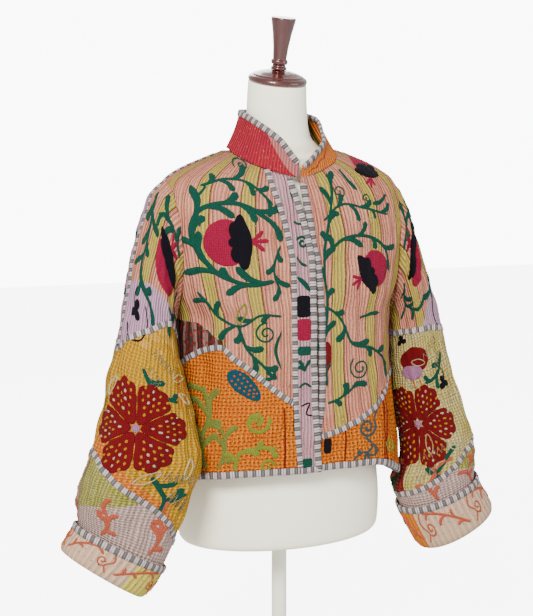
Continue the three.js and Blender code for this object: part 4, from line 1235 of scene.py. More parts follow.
def buildCuff(sign, around):
    side = sideNames[sign]
    end, endNormals = sleeveAt(sign, around, 13.0)
    before, _ = sleeveAt(sign, around, 12.8)
    down = unit(end - before)
    loops = []
    lengths = []

    def outside(along, out):
        points, normals = sleeveAt(sign, around, along)
        loops.append(points + normals * out)

    rise = np.linspace(cuffTop, 12.9, 14)
    ease = 0.3 + cuffEase + 1.2 * np.sin(np.pi * np.linspace(0, 1, 14)) * 0.8
    for along, out in zip(rise, ease):
        outside(along, out + clothThick)
        lengths.append((along - cuffTop) * 45)
    for out, deep in ((2.0, 1.2), (0.6, 2.4), (-1.2, 2.4), (-2.2, 1.0), (-2.2, 0.2), (0.6, 0.2)):
        loops.append(end + endNormals * out + down * deep)
        lengths.append(46 + deep)
    for along, out in list(zip(rise, ease))[::-1]:
        outside(along, out)
        lengths.append(90 - (along - cuffTop) * 45)
    uv = stack(around[:, None] / 360 * sleeveRound, np.array(lengths)[None])
    look = cloths["cuffPatched" if sign < 0 else "cuffLeft"]
    thing = loftMesh(f"cuff_{side}_cloth", np.array(loops).transpose(1, 0, 2), uv, look, True)
    shown = np.array(loops[:14])
    stateCloth(thing, f"cuff_{side}", "cuff", shown, "folded", [f"sleeve_{side}_lower"], True)
    path = loops[0], sleeveAt(sign, around, cuffTop)[1]
    profile = [
        (tapeWidth, 0.2), (tapeWidth, 1.2), (tapeWidth * 0.5, 1.6), (0.5, 1.5), (-1.2, 0.6),
        (-1.5, -clothThick / 2), (-1.2, -clothThick), (-0.2, -clothThick), (-0.2, 0.2),
    ]
    square = squareTo(loops[0], unit(loops[2] - loops[0]), True)
    trimAlong(f"cuff_{side}_binding", f"cuff_{side}", path, square, profile, True)


# Collar
def collarPoint(sign, angle, rise):
    angle, rise = spread(angle, rise)
    level = neckLevel(angle)
    width = angleAtWidth(level, neckSideX * np.sin(np.radians(angle)))
    base, _ = bodyAt(sign, np.where(angle <= 90, width, 180 - width), level)
    base[..., 2] += 1.2
    x, y, z = (read(collarTops[sign], "angle", angle, name) for name in ("x", "y", "z"))
    under = 3 * (1 - smooth(angle, 5, 40)) if sign > 0 else 0
    points = base + (stack(sign * x, y + under, z) - base) * rise[..., None]
    out = unit(stack(points[..., 0], points[..., 1] - 5, 0 * rise))
    ripple = 0.7 * np.sin(np.radians(angle) * 9 + sign) * rise
    return points + out * (ripple - 1.6 * np.sin(np.pi * rise))[..., None]


def collarAt(sign, angle, rise):
    inside = np.clip(angle, 0.8, 179.2), np.clip(rise, 0.02, 0.98)
    return collarPoint(sign, angle, rise), normalOf(collarPoint, sign, *inside, 0.7, 0.02)


def buildCollar():
    backStart = 112
    rise = np.linspace(0, 1, 25)
    edges = []
    for node, runs, cloth, slotName in (
        ("collar_right", [(-1, 2, backStart)], "rose", "collar_red"),
        ("collar_back", [(-1, backStart, 180), (1, 180, backStart)], "dark", "collar_dark"),
        ("collar_left", [(1, backStart, 2)], "apricot", "collar_orange"),
    ):
        parts = []
        for sign, start, end in runs:
            angle = np.linspace(start, end, 90 if len(runs) == 1 else 50)[1 if parts else 0 :]
            parts.append(collarAt(sign, angle[None], rise[:, None]))
        points, normals = (np.concatenate(some, axis=1) for some in zip(*parts))
        grid = points, normals, stack(pathLengths(points[0])[None], rise[:, None] * 60)
        layCloth(node, cloth, slotName, grid, "hung", ["form_torso"])
        edges.append((points[-1], normals[-1], unit(points[-4] - points[-1])))
    joined = [
        np.concatenate([e[k][: -1 if i < 2 else None] for i, e in enumerate(edges)])
        for k in range(3)
    ]
    bindEdge("collar_binding", "collar_right", *joined, 7.5)


# Dress form
formSections = table("z side front back", [
    (278, 160, 100, 98), (280, 166, 105, 103), (284, 170, 110, 108), (292, 174, 113, 111),
    (330, 176, 115, 113), (390, 172, 110, 109), (465, 148, 98, 98), (535, 124, 86, 92),
    (590, 122, 90, 92), (660, 140, 112, 102), (710, 150, 118, 108), (760, 156, 108, 103),
    (810, 160, 92, 94), (860, 165, 66, 78),
])
neckSections = table("z x y midY", [
    (901, 118, 60, 2), (911, 78, 50, 2), (922, 65, 52, 5), (936, 55, 52, 10),
    (958, 50, 51, 12), (990, 48.5, 49, 12), (1022, 47, 47, 10),
])
neckLean = math.radians(12)
capLean = math.radians(1.2)


def buildForm():
    around = np.radians(np.arange(144) * 2.5)
    loops = []

    def ring(z, x, front, back, midY, tilt):
        px = x * np.sin(around)
        py = -np.where(np.cos(around) > 0, front, back) * np.cos(around)
        lift = py * math.tan(neckLean * tilt) - px * math.tan(capLean * tilt)
        loops.append(stack(px, midY + py, z + lift))

    for z in [278, 279, 281, 284, 288, *np.linspace(294, 860, 70)]:
        ring(z, *(read(formSections, "z", z, name) for name in ("side", "front", "back")), 0, 0)
    for z in np.linspace(868, 1022, 60):
        if z < 901:
            t = smooth(z, 860, 901)
            ring(z, mix(165, 118, t), mix(66, 58, t), mix(78, 62, t), 2 * t, 0)
        else:
            x, y, midY = (read(neckSections, "z", z, name) for name in ("x", "y", "midY"))
            ring(z, x, y, y, midY, smooth(z, 940, 1022))
    grid = np.array(loops)
    settlePiece(loftMesh("form_cover", grid, grid[..., :2], formCloth), "form_cloth", "form_torso")


def latheMesh(name, profile, lift, material, turned=None):
    around = np.radians(np.arange(96) * 3.75)
    radius, height = np.array(profile).T[..., None]
    points = stack(radius * np.cos(around), radius * np.sin(around), height + lift)
    if turned is not None:
        flat = points.reshape(-1, 3)
        points = np.array([list(turned @ Vector(p)) for p in flat]).reshape(points.shape)
    return loftMesh(name, points, points[..., :2], material)


def rounded(profile, steps=6):
    corners = [Vector(p) for p in profile]
    made = [corners[0]]
    for before, corner, after in zip(corners, corners[1:], corners[2:]):
        cut = min(1.6, (corner - before).length * 0.4, (after - corner).length * 0.4)
        start = corner + (before - corner).normalized() * cut
        end = corner + (after - corner).normalized() * cut
        for i in range(steps + 1):
            t = i / steps
            made.append(start.lerp(corner, t).lerp(corner.lerp(end, t), t))
    made.append(corners[-1])
    return [tuple(p) for p in made]


capProfile = [
    (0.5, 0), (45, 0), (47.5, 2.5), (48, 6), (46, 9.5), (42, 11), (40.5, 13), (37, 14), (28, 17.5),
    (16, 20.5), (0.5, 21),
]
finialProfile = [
    (0.5, 0), (12.5, 0), (13, 3.5), (10.5, 5.5), (10, 8), (13, 9.5), (13.6, 12.5), (13, 15.5),
    (10.8, 17), (11.2, 19.5), (12.5, 36), (15.5, 58), (19.5, 78), (20, 81.5), (18.5, 83), (0.5, 83),
]
standTop = 278 - 0.3
standProfiles = {
    "stand_socket": [
        (0.5, standTop - 26), (17, standTop - 26), (18, standTop - 25), (18, standTop - 6),
        (30, standTop - 4), (30, standTop), (0.5, standTop),
    ],
    "stand_pole": [(0.5, 14.3), (12.5, 14.3), (12.5, standTop - 26.3), (0.5, standTop - 26.3)],
    "stand_foot": [(0.5, 0), (155, 0), (155, 5), (151, 8), (40, 14), (0.5, 14)],
}


def buildStand():
    lean = Matrix.Rotation(neckLean, 4, "X") @ Matrix.Rotation(capLean, 4, "Y")
    turned = Matrix.Translation((0, 10, 1022)) @ lean
    for node, profile, lift in (("neck_cap", capProfile, 0.4), ("finial", finialProfile, 21.7)):
        thing = latheMesh(node + "_wood", rounded(profile), lift, darkWood, turned)
        settlePiece(thing, "wood", node)
    for node, profile in standProfiles.items():
        settlePiece(latheMesh(node + "_metal", rounded(profile), 0, standPaint), "stand", node)


buildBody()
buildBand()
buildEdges()
buildBodyTapes()
buildGussets()
for sign in (-1, 1):
    buildSleeve(sign)
buildCollar()
print("cloth ready")
buildForm()
buildStand()
print("form ready")


# Embroidery: a design is a list of ribbons and patches in a chart's millimetres. Its rows each name
# a tool, then that tool's values in order.
def drawn(*rows):
    design = []
    for tool, *facts in rows:
        tool(design, *facts)
    return design


def toward(x, y, distance, angle, across=0):
    c = np.cos(angle)
    s = np.sin(angle)
    return x + distance * c - across * s, y + distance * s + across * c


def curve(points, step=1.8):
    points = np.array(points, dtype=float)
    padded = np.concatenate([[2 * points[0] - points[1]], points, [2 * points[-1] - points[-2]]])
    t = np.linspace(0, 1, 24, endpoint=False)[:, None]
    made = []
    for a, b, c, d in zip(padded, padded[1:], padded[2:], padded[3:]):
        square = (2 * a - 5 * b + 4 * c - d) * t**2
        cube = (3 * b - a - 3 * c + d) * t**3
        made.append(0.5 * (2 * b + (c - a) * t + square + cube))
    dense = np.concatenate([*made, points[-1:]])
    along = pathLengths(dense)
    at = np.linspace(0, along[-1], max(5, int(along[-1] / step)))
    return stack(np.interp(at, along, dense[:, 0]), np.interp(at, along, dense[:, 1]))


def ribbon(design, thread, path, width, shape="even", smoothIt=True, lift=1):
    path = curve(path) if smoothIt else np.array(path, dtype=float)
    t = np.linspace(0, 1, len(path))
    if shape == "even":
        room = np.minimum(pathLengths(path), pathLengths(path)[::-1])
        widths = width * np.sqrt(np.clip(room / (width * 0.6), 0.02, 1))
    elif shape == "leaf":
        tip = np.sqrt(np.clip(1 - (2 * t - 1) ** 2, 0, 1))
        widths = width * np.clip(tip, 0.05, 1) ** 1.3
    else:
        widths = width * (0.6 + 0.4 * smooth(t, 0.1, 0.7))
        widths = widths * np.sqrt(np.clip((1 - t) / 0.14, 0.02, 1))
    design.append({"thread": thread, "path": path, "widths": widths, "lift": lift})


def patch(design, thread, x, y, outline, rise=1.1):
    size = outline(np.radians(np.arange(0, 360, 30))).max()
    count = 64 if size > 9 else 12
    radius = outline(np.arange(count) * 2 * math.pi / count)
    design.append({"thread": thread, "centre": (x, y), "radius": radius, "rise": rise})


def oval(radius, high=None, lean=0.0):
    high = high or radius
    return lambda angle: (
        radius * high / np.hypot(high * np.cos(angle - lean), radius * np.sin(angle - lean))
    )


def block(half, high):
    return lambda angle: (
        1 / (np.abs(np.cos(angle) / half) ** 5 + np.abs(np.sin(angle) / high) ** 5) ** 0.2
    )


def coil(design, thread, width, x, y, radius, turns=1.6, start=0, hand=1):
    t = np.linspace(0, 1, int(26 * turns))
    angle = np.radians(start) + hand * 2 * math.pi * turns * t
    path = stack(*toward(x, y, radius * (1 - 0.86 * t), angle))
    ribbon(design, thread, path, width, "even", False)


stemFullness = 1.42
leafLength = 1.5
leafFullness = 1.6


def stem(design, thread, path, width, leaves=4, size=22, fat=6.0, first=1, spread=48):
    points = curve(path)
    width, size, fat = width * stemFullness, size * leafLength, fat * leafFullness
    ribbon(design, thread, points, width, smoothIt=False)
    tangent = pathTangents(points)
    for i in range(leaves):
        at = int((i + 0.7) / (leaves + 0.3) * (len(points) - 1))
        side = first if i % 2 == 0 else -first
        angle = math.radians(spread + 9 * math.sin(2.4 * i + size)) * side
        way = np.array(toward(0, 0, tangent[at][0], angle, tangent[at][1]))
        length = size * (0.82 + 0.25 * math.sin(1.7 * i + width))
        bend = np.array([-way[1], way[0]]) * side * -0.12 * length
        middle = points[at] + way * length * 0.5 + bend
        ribbon(design, thread, [points[at], middle, points[at] + way * length], fat, "club")


def fingers(design, thread, x, y, way, size, fat, spreads=(-34, 0, 34)):
    for spread in spreads:
        angle = math.radians(way + spread)
        length = size * (1 - 0.1 * (spread != 0))
        middle = toward(x, y, 0.5 * length, angle - math.radians(spread) * 0.25)
        path = [(x, y), middle, toward(x, y, length, angle)]
        ribbon(design, thread, path, fat, "club")


def pomegranate(design, x, y, radius, way):
    lean = math.radians(way)
    crown = radius * 0.62
    patch(design, "crimson", x, y, oval(radius * 0.92, radius, lean))
    tip = toward(x, y, crown + radius * 0.3, lean)
    fingers(design, "crimson", *tip, way, radius * 0.85, radius * 0.2)

    def scalloped(angle):
        plain = oval(radius * 0.44, radius * 0.94, lean)(angle)
        inner = smooth(-np.cos(angle - lean), -0.45, 0.0)
        return plain * (1 + 0.32 * inner * np.abs(np.sin(3.5 * (angle - lean))) ** 0.7)

    patch(design, "navy", *toward(x, y, crown, lean), scalloped, 2.0)


def clover(design, x, y, size, thread="navy"):
    for way in (20, 140, 260):
        angle = math.radians(way)
        place = toward(x, y, 0.75 * size, angle)
        patch(design, thread, *place, oval(size * 0.8, size * 0.6, angle), 1.3)
    ribbon(design, thread, [(x, y), (x + size, y - 1.7 * size), (x + 0.6 * size, y - 3 * size)], 2.2)


def zigzag(design, thread, start, end, size, count, width=2.7):
    ahead = np.array(end) - np.array(start)
    across = np.array([-ahead[1], ahead[0]]) / np.hypot(*ahead)
    swing = np.where(np.arange(count) % 2 == 0, -0.5, 0.5) * size
    path = np.array(start) + ahead * np.linspace(0, 1, count)[:, None] + across * swing[:, None]
    ribbon(design, thread, path, width, "even", False, 1.7)


# A large flower of looped cord: fan-shaped petals with lobed ends, and small openings in rows.
# A row has its distance from the middle, half its spread in degrees, and its count.
openingRows = ((0.34, 0, 1), (0.48, 9, 2), (0.62, 17, 4), (0.76, 20, 5), (0.9, 17, 4))


def laceFlower(design, x, y, radius, petals=6, start=10, thread="maroon"):
    for k in range(petals):
        lean = math.radians(start + k * 360 / petals)
        reach = radius * (1 + 0.08 * math.sin(3.1 * k))

        def petal(angle, lean=lean, reach=reach):
            ahead = np.cos(angle - lean)
            long = 0.46 * reach
            wide = 0.31 * reach * (1 + 0.42 * ahead)
            plain = long * wide / np.hypot(wide * ahead, long * np.sin(angle - lean))
            lobes = np.abs(np.sin(4.5 * (angle - lean)))
            return plain * (1 + 0.15 * smooth(ahead, -0.2, 0.5) * lobes)

        patch(design, thread, *toward(x, y, 0.55 * reach, lean), petal, 1.3)
        for distance, half, count in openingRows:
            for j in range(count):
                way = lean + math.radians(-half + 2 * half * j / max(1, count - 1))
                hole = toward(x, y, distance * reach, way)
                kind = "ivory" if (j + k) % 3 == 0 else "ochre"
                patch(design, kind, *hole, oval(radius * 0.04, radius * 0.026, way), 1.75)
    patch(design, "mauve", x, y, oval(radius * 0.09), 2.4)


def outlinedLeaf(design, x, y, way, length, width, thread="ivory"):
    t = np.linspace(0, 1, 15)
    for side in (1, -1):
        across = side * width / 2 * np.sin(math.pi * t) ** 0.8
        path = stack(*toward(x, y, length * t, math.radians(way), across))
        ribbon(design, thread, path, 2.3, lift=1.7)


def paisley(design, x, y, way, size, thread, dots):
    lean = math.radians(way)

    def leaf(angle):
        turned = (angle - lean + math.pi) % (2 * math.pi) - math.pi
        return oval(size, size * 0.58, lean)(angle) * (1 + 0.45 * bump(turned / 0.45))

    patch(design, thread, x, y, leaf)
    for i in range(-2, 4):
        for j in range(-1, 2):
            along = i * size * 0.3 + (j % 2) * size * 0.13
            across = j * size * 0.3 * (1 - max(0, i) * 0.17)
            patch(design, dots, *toward(x, y, along, lean, across), oval(size * 0.07), 1.9)


ribbonOffsets = np.array([-1.0, -0.72, 0.0, 0.72, 1.0])
ribbonHeights = np.array([-0.25, 0.75, 1.15, 0.75, -0.25])


def ribbonParts(item):
    path = item["path"]
    tangent = pathTangents(path)
    across = stack(-tangent[:, 1], tangent[:, 0])
    offsets = ribbonOffsets[None] * item["widths"][:, None] / 2
    flat = path[:, None] + across[:, None] * offsets[..., None]
    heights = np.repeat(ribbonHeights[None], len(path), 0) * item["lift"]
    uv = stack(pathLengths(path)[:, None], offsets)
    return flat.reshape(-1, 2), heights.ravel(), uv.reshape(-1, 2), gridFaces(len(path), 5)


def patchParts(item):
    radius = item["radius"]
    count = len(radius)
    rings = max(1, int(radius.max() / 4))
    share = np.concatenate([np.linspace(0, 0.9, rings + 1)[1:], [0.97, 1.0]])
    angle = np.radians(np.arange(count) * 360 / count)
    ring = stack(*toward(*item["centre"], share[:, None] * radius[None], angle[None]))
    flat = np.concatenate([[item["centre"]], ring.reshape(-1, 2)])
    profile = np.ones(len(share))
    profile[-2:] = (0.7, -0.2)
    heights = np.concatenate([[1.0], np.repeat(profile, count)]) * item["rise"]
    faces = gridFaces(len(share), count, True, 1)
    faces += [[0, 1 + j, 1 + (j + 1) % count] for j in range(count)]
    return flat, heights, flat, faces


def turnOutward(points, faces, normals):
    turned = []
    for face in faces:
        a, b, c = points[face[0]], points[face[1]], points[face[2]]
        inward = np.dot(np.cross(b - a, c - a), normals[face[0]]) < 0
        turned.append(face[::-1] if inward else face)
    return turned


def embroider(name, chart, design, node):
    for thread in sorted({item["thread"] for item in design}):
        flats, heights, uvs, faces = [], [], [], []
        count = 0
        for item in design:
            if item["thread"] != thread:
                continue
            flat, height, uv, some = (ribbonParts if "path" in item else patchParts)(item)
            flats.append(flat)
            heights.append(height)
            uvs.append(uv)
            faces += [[v + count for v in face] for face in some]
            count += len(flat)
        flat = np.concatenate(flats)
        points, normals = chart(flat[:, 0], flat[:, 1])
        points = points + normals * np.concatenate(heights)[:, None]
        faces = turnOutward(points, faces, normals)
        uv = np.concatenate(uvs)
        thing = makeMesh(f"embroidery_{name}_{thread}", points, faces, uv, threads[thread], False)
        settlePiece(thing, "tape", None, node)


# A stem's row: thread, path, width, leaves, their length and width, first side and spread. A coil's:
# thread, width, x, y, radius, turns, start and hand. A ribbon's: thread, path, width and shape.
def frontRightDesign():
    vine = [(-62, 716), (-104, 712), (-148, 732), (-177, 778), (-168, 822), (-128, 836), (-92, 828)]
    vine.append((-52, 800))
    lower = [(-52, 662), (-84, 664), (-112, 648), (-140, 660), (-172, 700)]
    return drawn(
        (pomegranate, -131, 776, 36, 2),
        (stem, "green", vine, 5.6, 13, 30, 7.6, -1, 36),
        (ribbon, "green", [(-177, 790), (-170, 784), (-164, 782)], 4),
        (stem, "green", [(-158, 862), (-118, 872), (-84, 864), (-54, 832)], 3.2, 6, 20, 6, 1, 50),
        (stem, "green", [(-166, 800), (-168, 838), (-150, 862)], 2.8, 0),
        (coil, "green", 2.6, -88, 893, 12, 1.4, 200, -1),
        (stem, "green", lower, 3, 5, 19, 6, 1, 55),
        (coil, "green", 3.2, -76, 636, 17, 1.7, 80, 1),
        (stem, "green", [(-116, 650), (-104, 612), (-70, 574)], 3.4, 4, 20, 7, -1, 50),
        (stem, "green", [(-50, 770), (-62, 735), (-52, 696)], 3, 4, 18, 6, 1, 40),
        (ribbon, "green", [(-52, 640), (-62, 610), (-54, 580)], 6, "leaf"),
        (fingers, "green", -62, 566, 150, 22, 7, (-60, -10, 40)),
        (outlinedLeaf, -116, 650, 75, 34, 11, "lime"),
        (ribbon, "green", [(-160, 640), (-148, 622), (-152, 606)], 3),
    )


def frontLeftDesign():
    vine = [(25, 548), (22, 610), (27, 680), (24, 742), (36, 796), (50, 846), (48, 878)]
    lower = [(26, 672), (50, 654), (72, 612), (112, 600), (160, 566)]
    return drawn(
        (pomegranate, 118, 728, 30, 206),
        (pomegranate, 132, 893, 22, 262),
        (stem, "green", vine, 3.6, 11, 20, 6.6, -1, 38),
        (stem, "green", [(26, 748), (58, 776), (104, 780), (142, 758), (150, 722)], 4.2, 6, 22, 6.5, 1),
        (stem, "green", [(30, 806), (64, 830), (104, 824), (152, 812)], 3.0, 6, 19, 6, -1, 46),
        (coil, "green", 2.6, 62, 850, 11, 1.5, 250, 1),
        (coil, "green", 2.4, 112, 838, 8, 1.3, 200, -1),
        (stem, "green", lower, 3.4, 6, 20, 7, 1, 50),
        (coil, "green", 3.0, 84, 572, 19, 1.8, 120, 1),
        (ribbon, "green", [(86, 652), (108, 656), (128, 656)], 7, "club"),
        (ribbon, "green", [(74, 884), (84, 866), (96, 852)], 7, "club"),
        (ribbon, "green", [(158, 842), (140, 832), (124, 830)], 8, "club"),
        (stem, "green", [(26, 520), (52, 528), (80, 552)], 3.2, 3, 17, 7, -1),
        (ribbon, "maroon", [(27, 618), (27, 594), (26, 572)], 13),
    )


def backDesign(flip):
    stems = (
        ([(20, 560), (60, 590), (96, 640), (120, 700), (84, 742), (52, 790), (66, 850)], 4.0, 12, 24),
        ([(160, 600), (150, 680), (160, 740), (152, 800), (120, 852), (70, 882)], 3.6, 10, 22),
        ([(14, 700), (30, 740), (16, 800), (20, 860)], 3.2, 6, 20),
        ([(120, 560), (140, 600), (104, 650)], 3.0, 4, 19),
    )
    coils = ((34, 868, 14), (140, 640, 16), (26, 620, 15))
    return drawn(
        (pomegranate, flip * 104, 790, 36, 90 + flip * 55),
        (pomegranate, flip * 58, 640, 31, 90 - flip * 120),
        *(
            (stem, "green", [(flip * x, z) for x, z in path], *facts, 6.5, flip)
            for path, *facts in stems
        ),
        *((coil, "green", 3.0, flip * x, z, r, 1.6, 90, flip) for x, z, r in coils),
    )


def frontRightLowDesign():
    return drawn(
        (paisley, -112, 560, -48, 25, "teal", "tangerine"),
        (stem, "sage", [(-166, 430), (-172, 470), (-158, 512), (-166, 552)], 5, 7, 24, 6.5, 1),
        (stem, "sage", [(-150, 428), (-138, 462), (-146, 500)], 3.4, 4, 18, 5.5, -1),
        (coil, "lime", 7, -92, 500, 20, 1.35, 20, -1),
        (fingers, "lime", -92, 500, 120, 17, 6, (-45, 10, 60)),
        (stem, "lime", [(-128, 424), (-118, 452), (-84, 458), (-62, 456)], 5.0, 4, 18, 6.5, 1),
        (coil, "lime", 5, -78, 428, 12, 1.2, 0, 1),
        (ribbon, "maroon", [(-50, 520), (-49, 470), (-50, 424)], 2.6),
    )


def frontLeftLowDesign():
    bars = ((56, 424, 484), (134, 424, 530), (142, 424, 532))
    return drawn(
        (coil, "slate", 4.8, 96, 476, 17, 1.7, 40, -1),
        (ribbon, "slate", [(109, 488), (116, 504), (118, 520)], 3.8),
        (ribbon, "slate", [(92, 460), (106, 446), (92, 430), (96, 418)], 4.8),
        (stem, "slate", [(70, 426), (88, 436), (106, 430), (120, 440)], 2.8, 3, 10, 4),
        *(
            (ribbon, "maroon", [(x, low), (x + 1, (low + high) / 2), (x - 1, high)], 2.6)
            for x, low, high in bars
        ),
        (coil, "lime", 4, 152, 448, 11, 1.5, 90, 1),
        (patch, "navy", 25, 452, block(7, 12)),
    )


def backLowDesign(flip):
    path = [(flip * x, z) for x, z in ((150, 430), (140, 470), (156, 520), (150, 560))]
    coils = ((60, 500, 20, "lime"), (120, 470, 22, "slate"), (30, 450, 13, "lime"))
    return drawn(
        *((coil, thread, 5, flip * x, z, r, 1.6, 30, flip) for x, z, r, thread in coils),
        (stem, "sage", path, 4.4, 7, 22, 6.5, flip),
        (paisley, flip * 92, 545, 90 - flip * 50, 21, "teal", "tangerine"),
    )


def bandDesign():
    return drawn(
        (ribbon, "green", [(-24, 850), (-16, 836), (-7, 820)], 9, "leaf"),
        (ribbon, "green", [(-26, 806), (-16, 802), (-5, 806)], 4),
        (coil, "green", 4.4, -14, 774, 10, 1.4, 160, -1),
        (ribbon, "green", [(-25, 752), (-17, 742), (-8, 738)], 5, "club"),
        (ribbon, "green", [(-26, 722), (-14, 712), (-4, 698)], 9, "leaf"),
        (patch, "navy", -16, 676, block(12, 17)),
        (patch, "crimson", -16, 640, block(12, 17)),
        (patch, "green", -16, 607, block(11, 7)),
        (fingers, "green", -16, 576, 100, 22, 7, (-45, 20, 60)),
        (ribbon, "green", [(-26, 550), (-16, 556), (-5, 550)], 4),
        (ribbon, "navy", [(-22, 520), (-8, 524), (-14, 508), (0, 504)], 2.6),
        (patch, "green", -13, 430, block(9, 7)),
    )


def bandChart(x, z):
    points, normals = bodyAt(-1, signedAngle(z, -x), z)
    return points + normals * bandLift, normals


# Sleeve designs are placed by degrees round the sleeve and millimetres down it.
def onSleeve(angle):
    return (sleeveMiddle - angle) / 360 * sleeveRound


def roundPath(points):
    return [(onSleeve(angle), down) for angle, down in points]


def upperSleeveDesign(sign):
    stems = (
        ([(14, 16), (26, 60), (30, 104), (62, 122)], 4.4, 9),
        ([(92, 10), (60, 16), (34, 30)], 3.8, 4),
        ([(116, 30), (126, 74), (98, 112)], 3.8, 6),
        ([(330, 20), (320, 70), (335, 130)], 4.0, 8),
        ([(200, 30), (215, 80), (205, 120)], 3.6, 6),
        ([(285, 15), (270, 60), (285, 110)], 3.6, 6),
    )
    thin = roundPath([(16, 160), (26, 176), (50, 172), (58, 148), (50, 128)])
    return drawn(
        (pomegranate, onSleeve(74), 58, 28, 262),
        *((stem, "green", roundPath(path), *facts, 20, 6, sign) for path, *facts in stems),
        (clover, onSleeve(34 if sign < 0 else 150), 142, 9),
        (ribbon, "navy", thin, 2.6),
        (pomegranate, onSleeve(245), 80, 24, 100),
        (clover, onSleeve(320), 160, 6),
    )


sleeveFlowers = {-1: (60, 287, 66), 1: (142, 312, 72)}


def middleSleeveDesign(sign):
    angle, down, radius = sleeveFlowers[sign]
    rows = [
        (laceFlower, onSleeve(angle), down, radius, 6, 4),
        (laceFlower, onSleeve(angle + 180), down - 10, 60, 6, 24),
    ]
    if sign > 0:
        x = onSleeve(132)
        rows += [
            (patch, "maroon", x + 6, 192, oval(34, 25, 0.3)),
            (patch, "mauve", x - 2, 214, oval(25, 14, 0.2), 1.9),
            (clover, onSleeve(75), 250, 8),
            (patch, "navy", onSleeve(178), 268, oval(17, 22, 0.4)),
        ]
    leaves = ((104, 205, 200), (118, 225, 150), (20, 225, 60), (96, 350, 30), (130, 330, 80))
    for angle, down, way in leaves:
        rows.append((outlinedLeaf, onSleeve(angle), down, way, 34, 13, "ivory"))
        rows.append((outlinedLeaf, onSleeve(angle + 170), down, way + 40, 34, 13, "ivory"))
    for path in (
        [(60, 205), (82, 232), (112, 240)],
        [(86, 356), (112, 392), (132, 384)],
        [(235, 215), (262, 240), (290, 236)],
        [(318, 330), (300, 372), (280, 380)],
    ):
        rows.append((stem, "green", roundPath(path), 5.0, 3, 18, 6, 1))
    for angle in (108, 122, 290):
        path = roundPath([(angle, 196), (angle + 14, 216), (angle + 10, 246)])
        rows.append((ribbon, "tangerine", path, 3))
    for ends in (
        ((72, 176), (108, 194)), ((70, 200), (84, 222)), ((100, 356), (140, 366)),
        ((112, 384), (140, 404)), ((250, 200), (290, 216)), ((300, 360), (330, 372)),
    ):
        rows.append((zigzag, "ivory", *roundPath(ends), 13, 11))
    return drawn(*rows)


def lowerSleeveDesign(sign):
    low = 470 if sign < 0 else 440
    rows = []
    for angle, thread in ((50, "coral"), (110, "coral"), (200, "coral"), (290, "lime"), (340, "coral")):
        path = roundPath([(angle, low), (angle + 8, low - 28), (angle - 4, low - 62)])
        rows.append((stem, thread, path, 4.2, 5, 17, 5.5, sign))
    return drawn(*rows)


# The cuff's chart runs in millimetres round the sleeve and down from the cuff's upper edge.
cuffHigh = 42


def cuffChart(sign):
    def place(x, y):
        share = np.clip(y / cuffHigh, 0, 1)
        points, normals = sleeveAt(sign, x / sleeveRound * 360, cuffTop + share * 0.9)
        out = 0.3 + cuffEase + clothThick + 0.96 * np.sin(np.pi * share)
        return points + normals * out[..., None], normals

    return place


def cuffDesign(sign):
    rows = []
    for k in range(5):
        x = 14 + k * 80
        path = [(x, 36), (x + 18, 22), (x + 40, 12), (x + 62, 8)]
        rows += [
            (stem, "coral", path, 2.6, 5, 11, 2.8, sign, 50),
            (coil, "coral", 2.2, x + 58, 26, 8, 1.4, 40 * k, 1),
            (ribbon, "coral", [(x + 70, 40), (x + 64, 30), (x + 72, 20), (x + 66, 6)], 2.4),
        ]
    return drawn(*rows)


def embroiderAll():
    for sign, side in sideNames.items():
        front = frontRightDesign() if sign < 0 else frontLeftDesign()
        embroider(f"front_{side}", frontChart(sign), front, f"front_{side}_upper")
    for sign, side in sideNames.items():
        low = frontRightLowDesign() if sign < 0 else frontLeftLowDesign()
        embroider(f"low_{side}", frontChart(sign), low, f"front_{side}_lower")
    for sign, side in sideNames.items():
        back = backChart(sign)
        embroider(f"back_{side}", back, backDesign(sign), f"back_{side}_upper")
        embroider(f"back_low_{side}", back, backLowDesign(sign), f"back_{side}_lower")
        for part, design in (
            ("upper", upperSleeveDesign), ("middle", middleSleeveDesign), ("lower", lowerSleeveDesign)
        ):
            node = f"sleeve_{side}_{part}"
            embroider(node, sleeveChart(sign), design(sign), node)
        embroider(f"cuff_{side}", cuffChart(sign), cuffDesign(sign), f"cuff_{side}")
    embroider("band", bandChart, bandDesign(), "band")
    path = [(9, 10), (15, 19), (21, 14), (28, 29), (35, 24), (43, 40)]
    design = drawn((ribbon, "crimson", path, 2.6, "even", False))
    embroider("collar_left", lambda x, y: collarAt(1, x, y / 60), design, "collar_left")


embroiderAll()
print("embroidery ready")


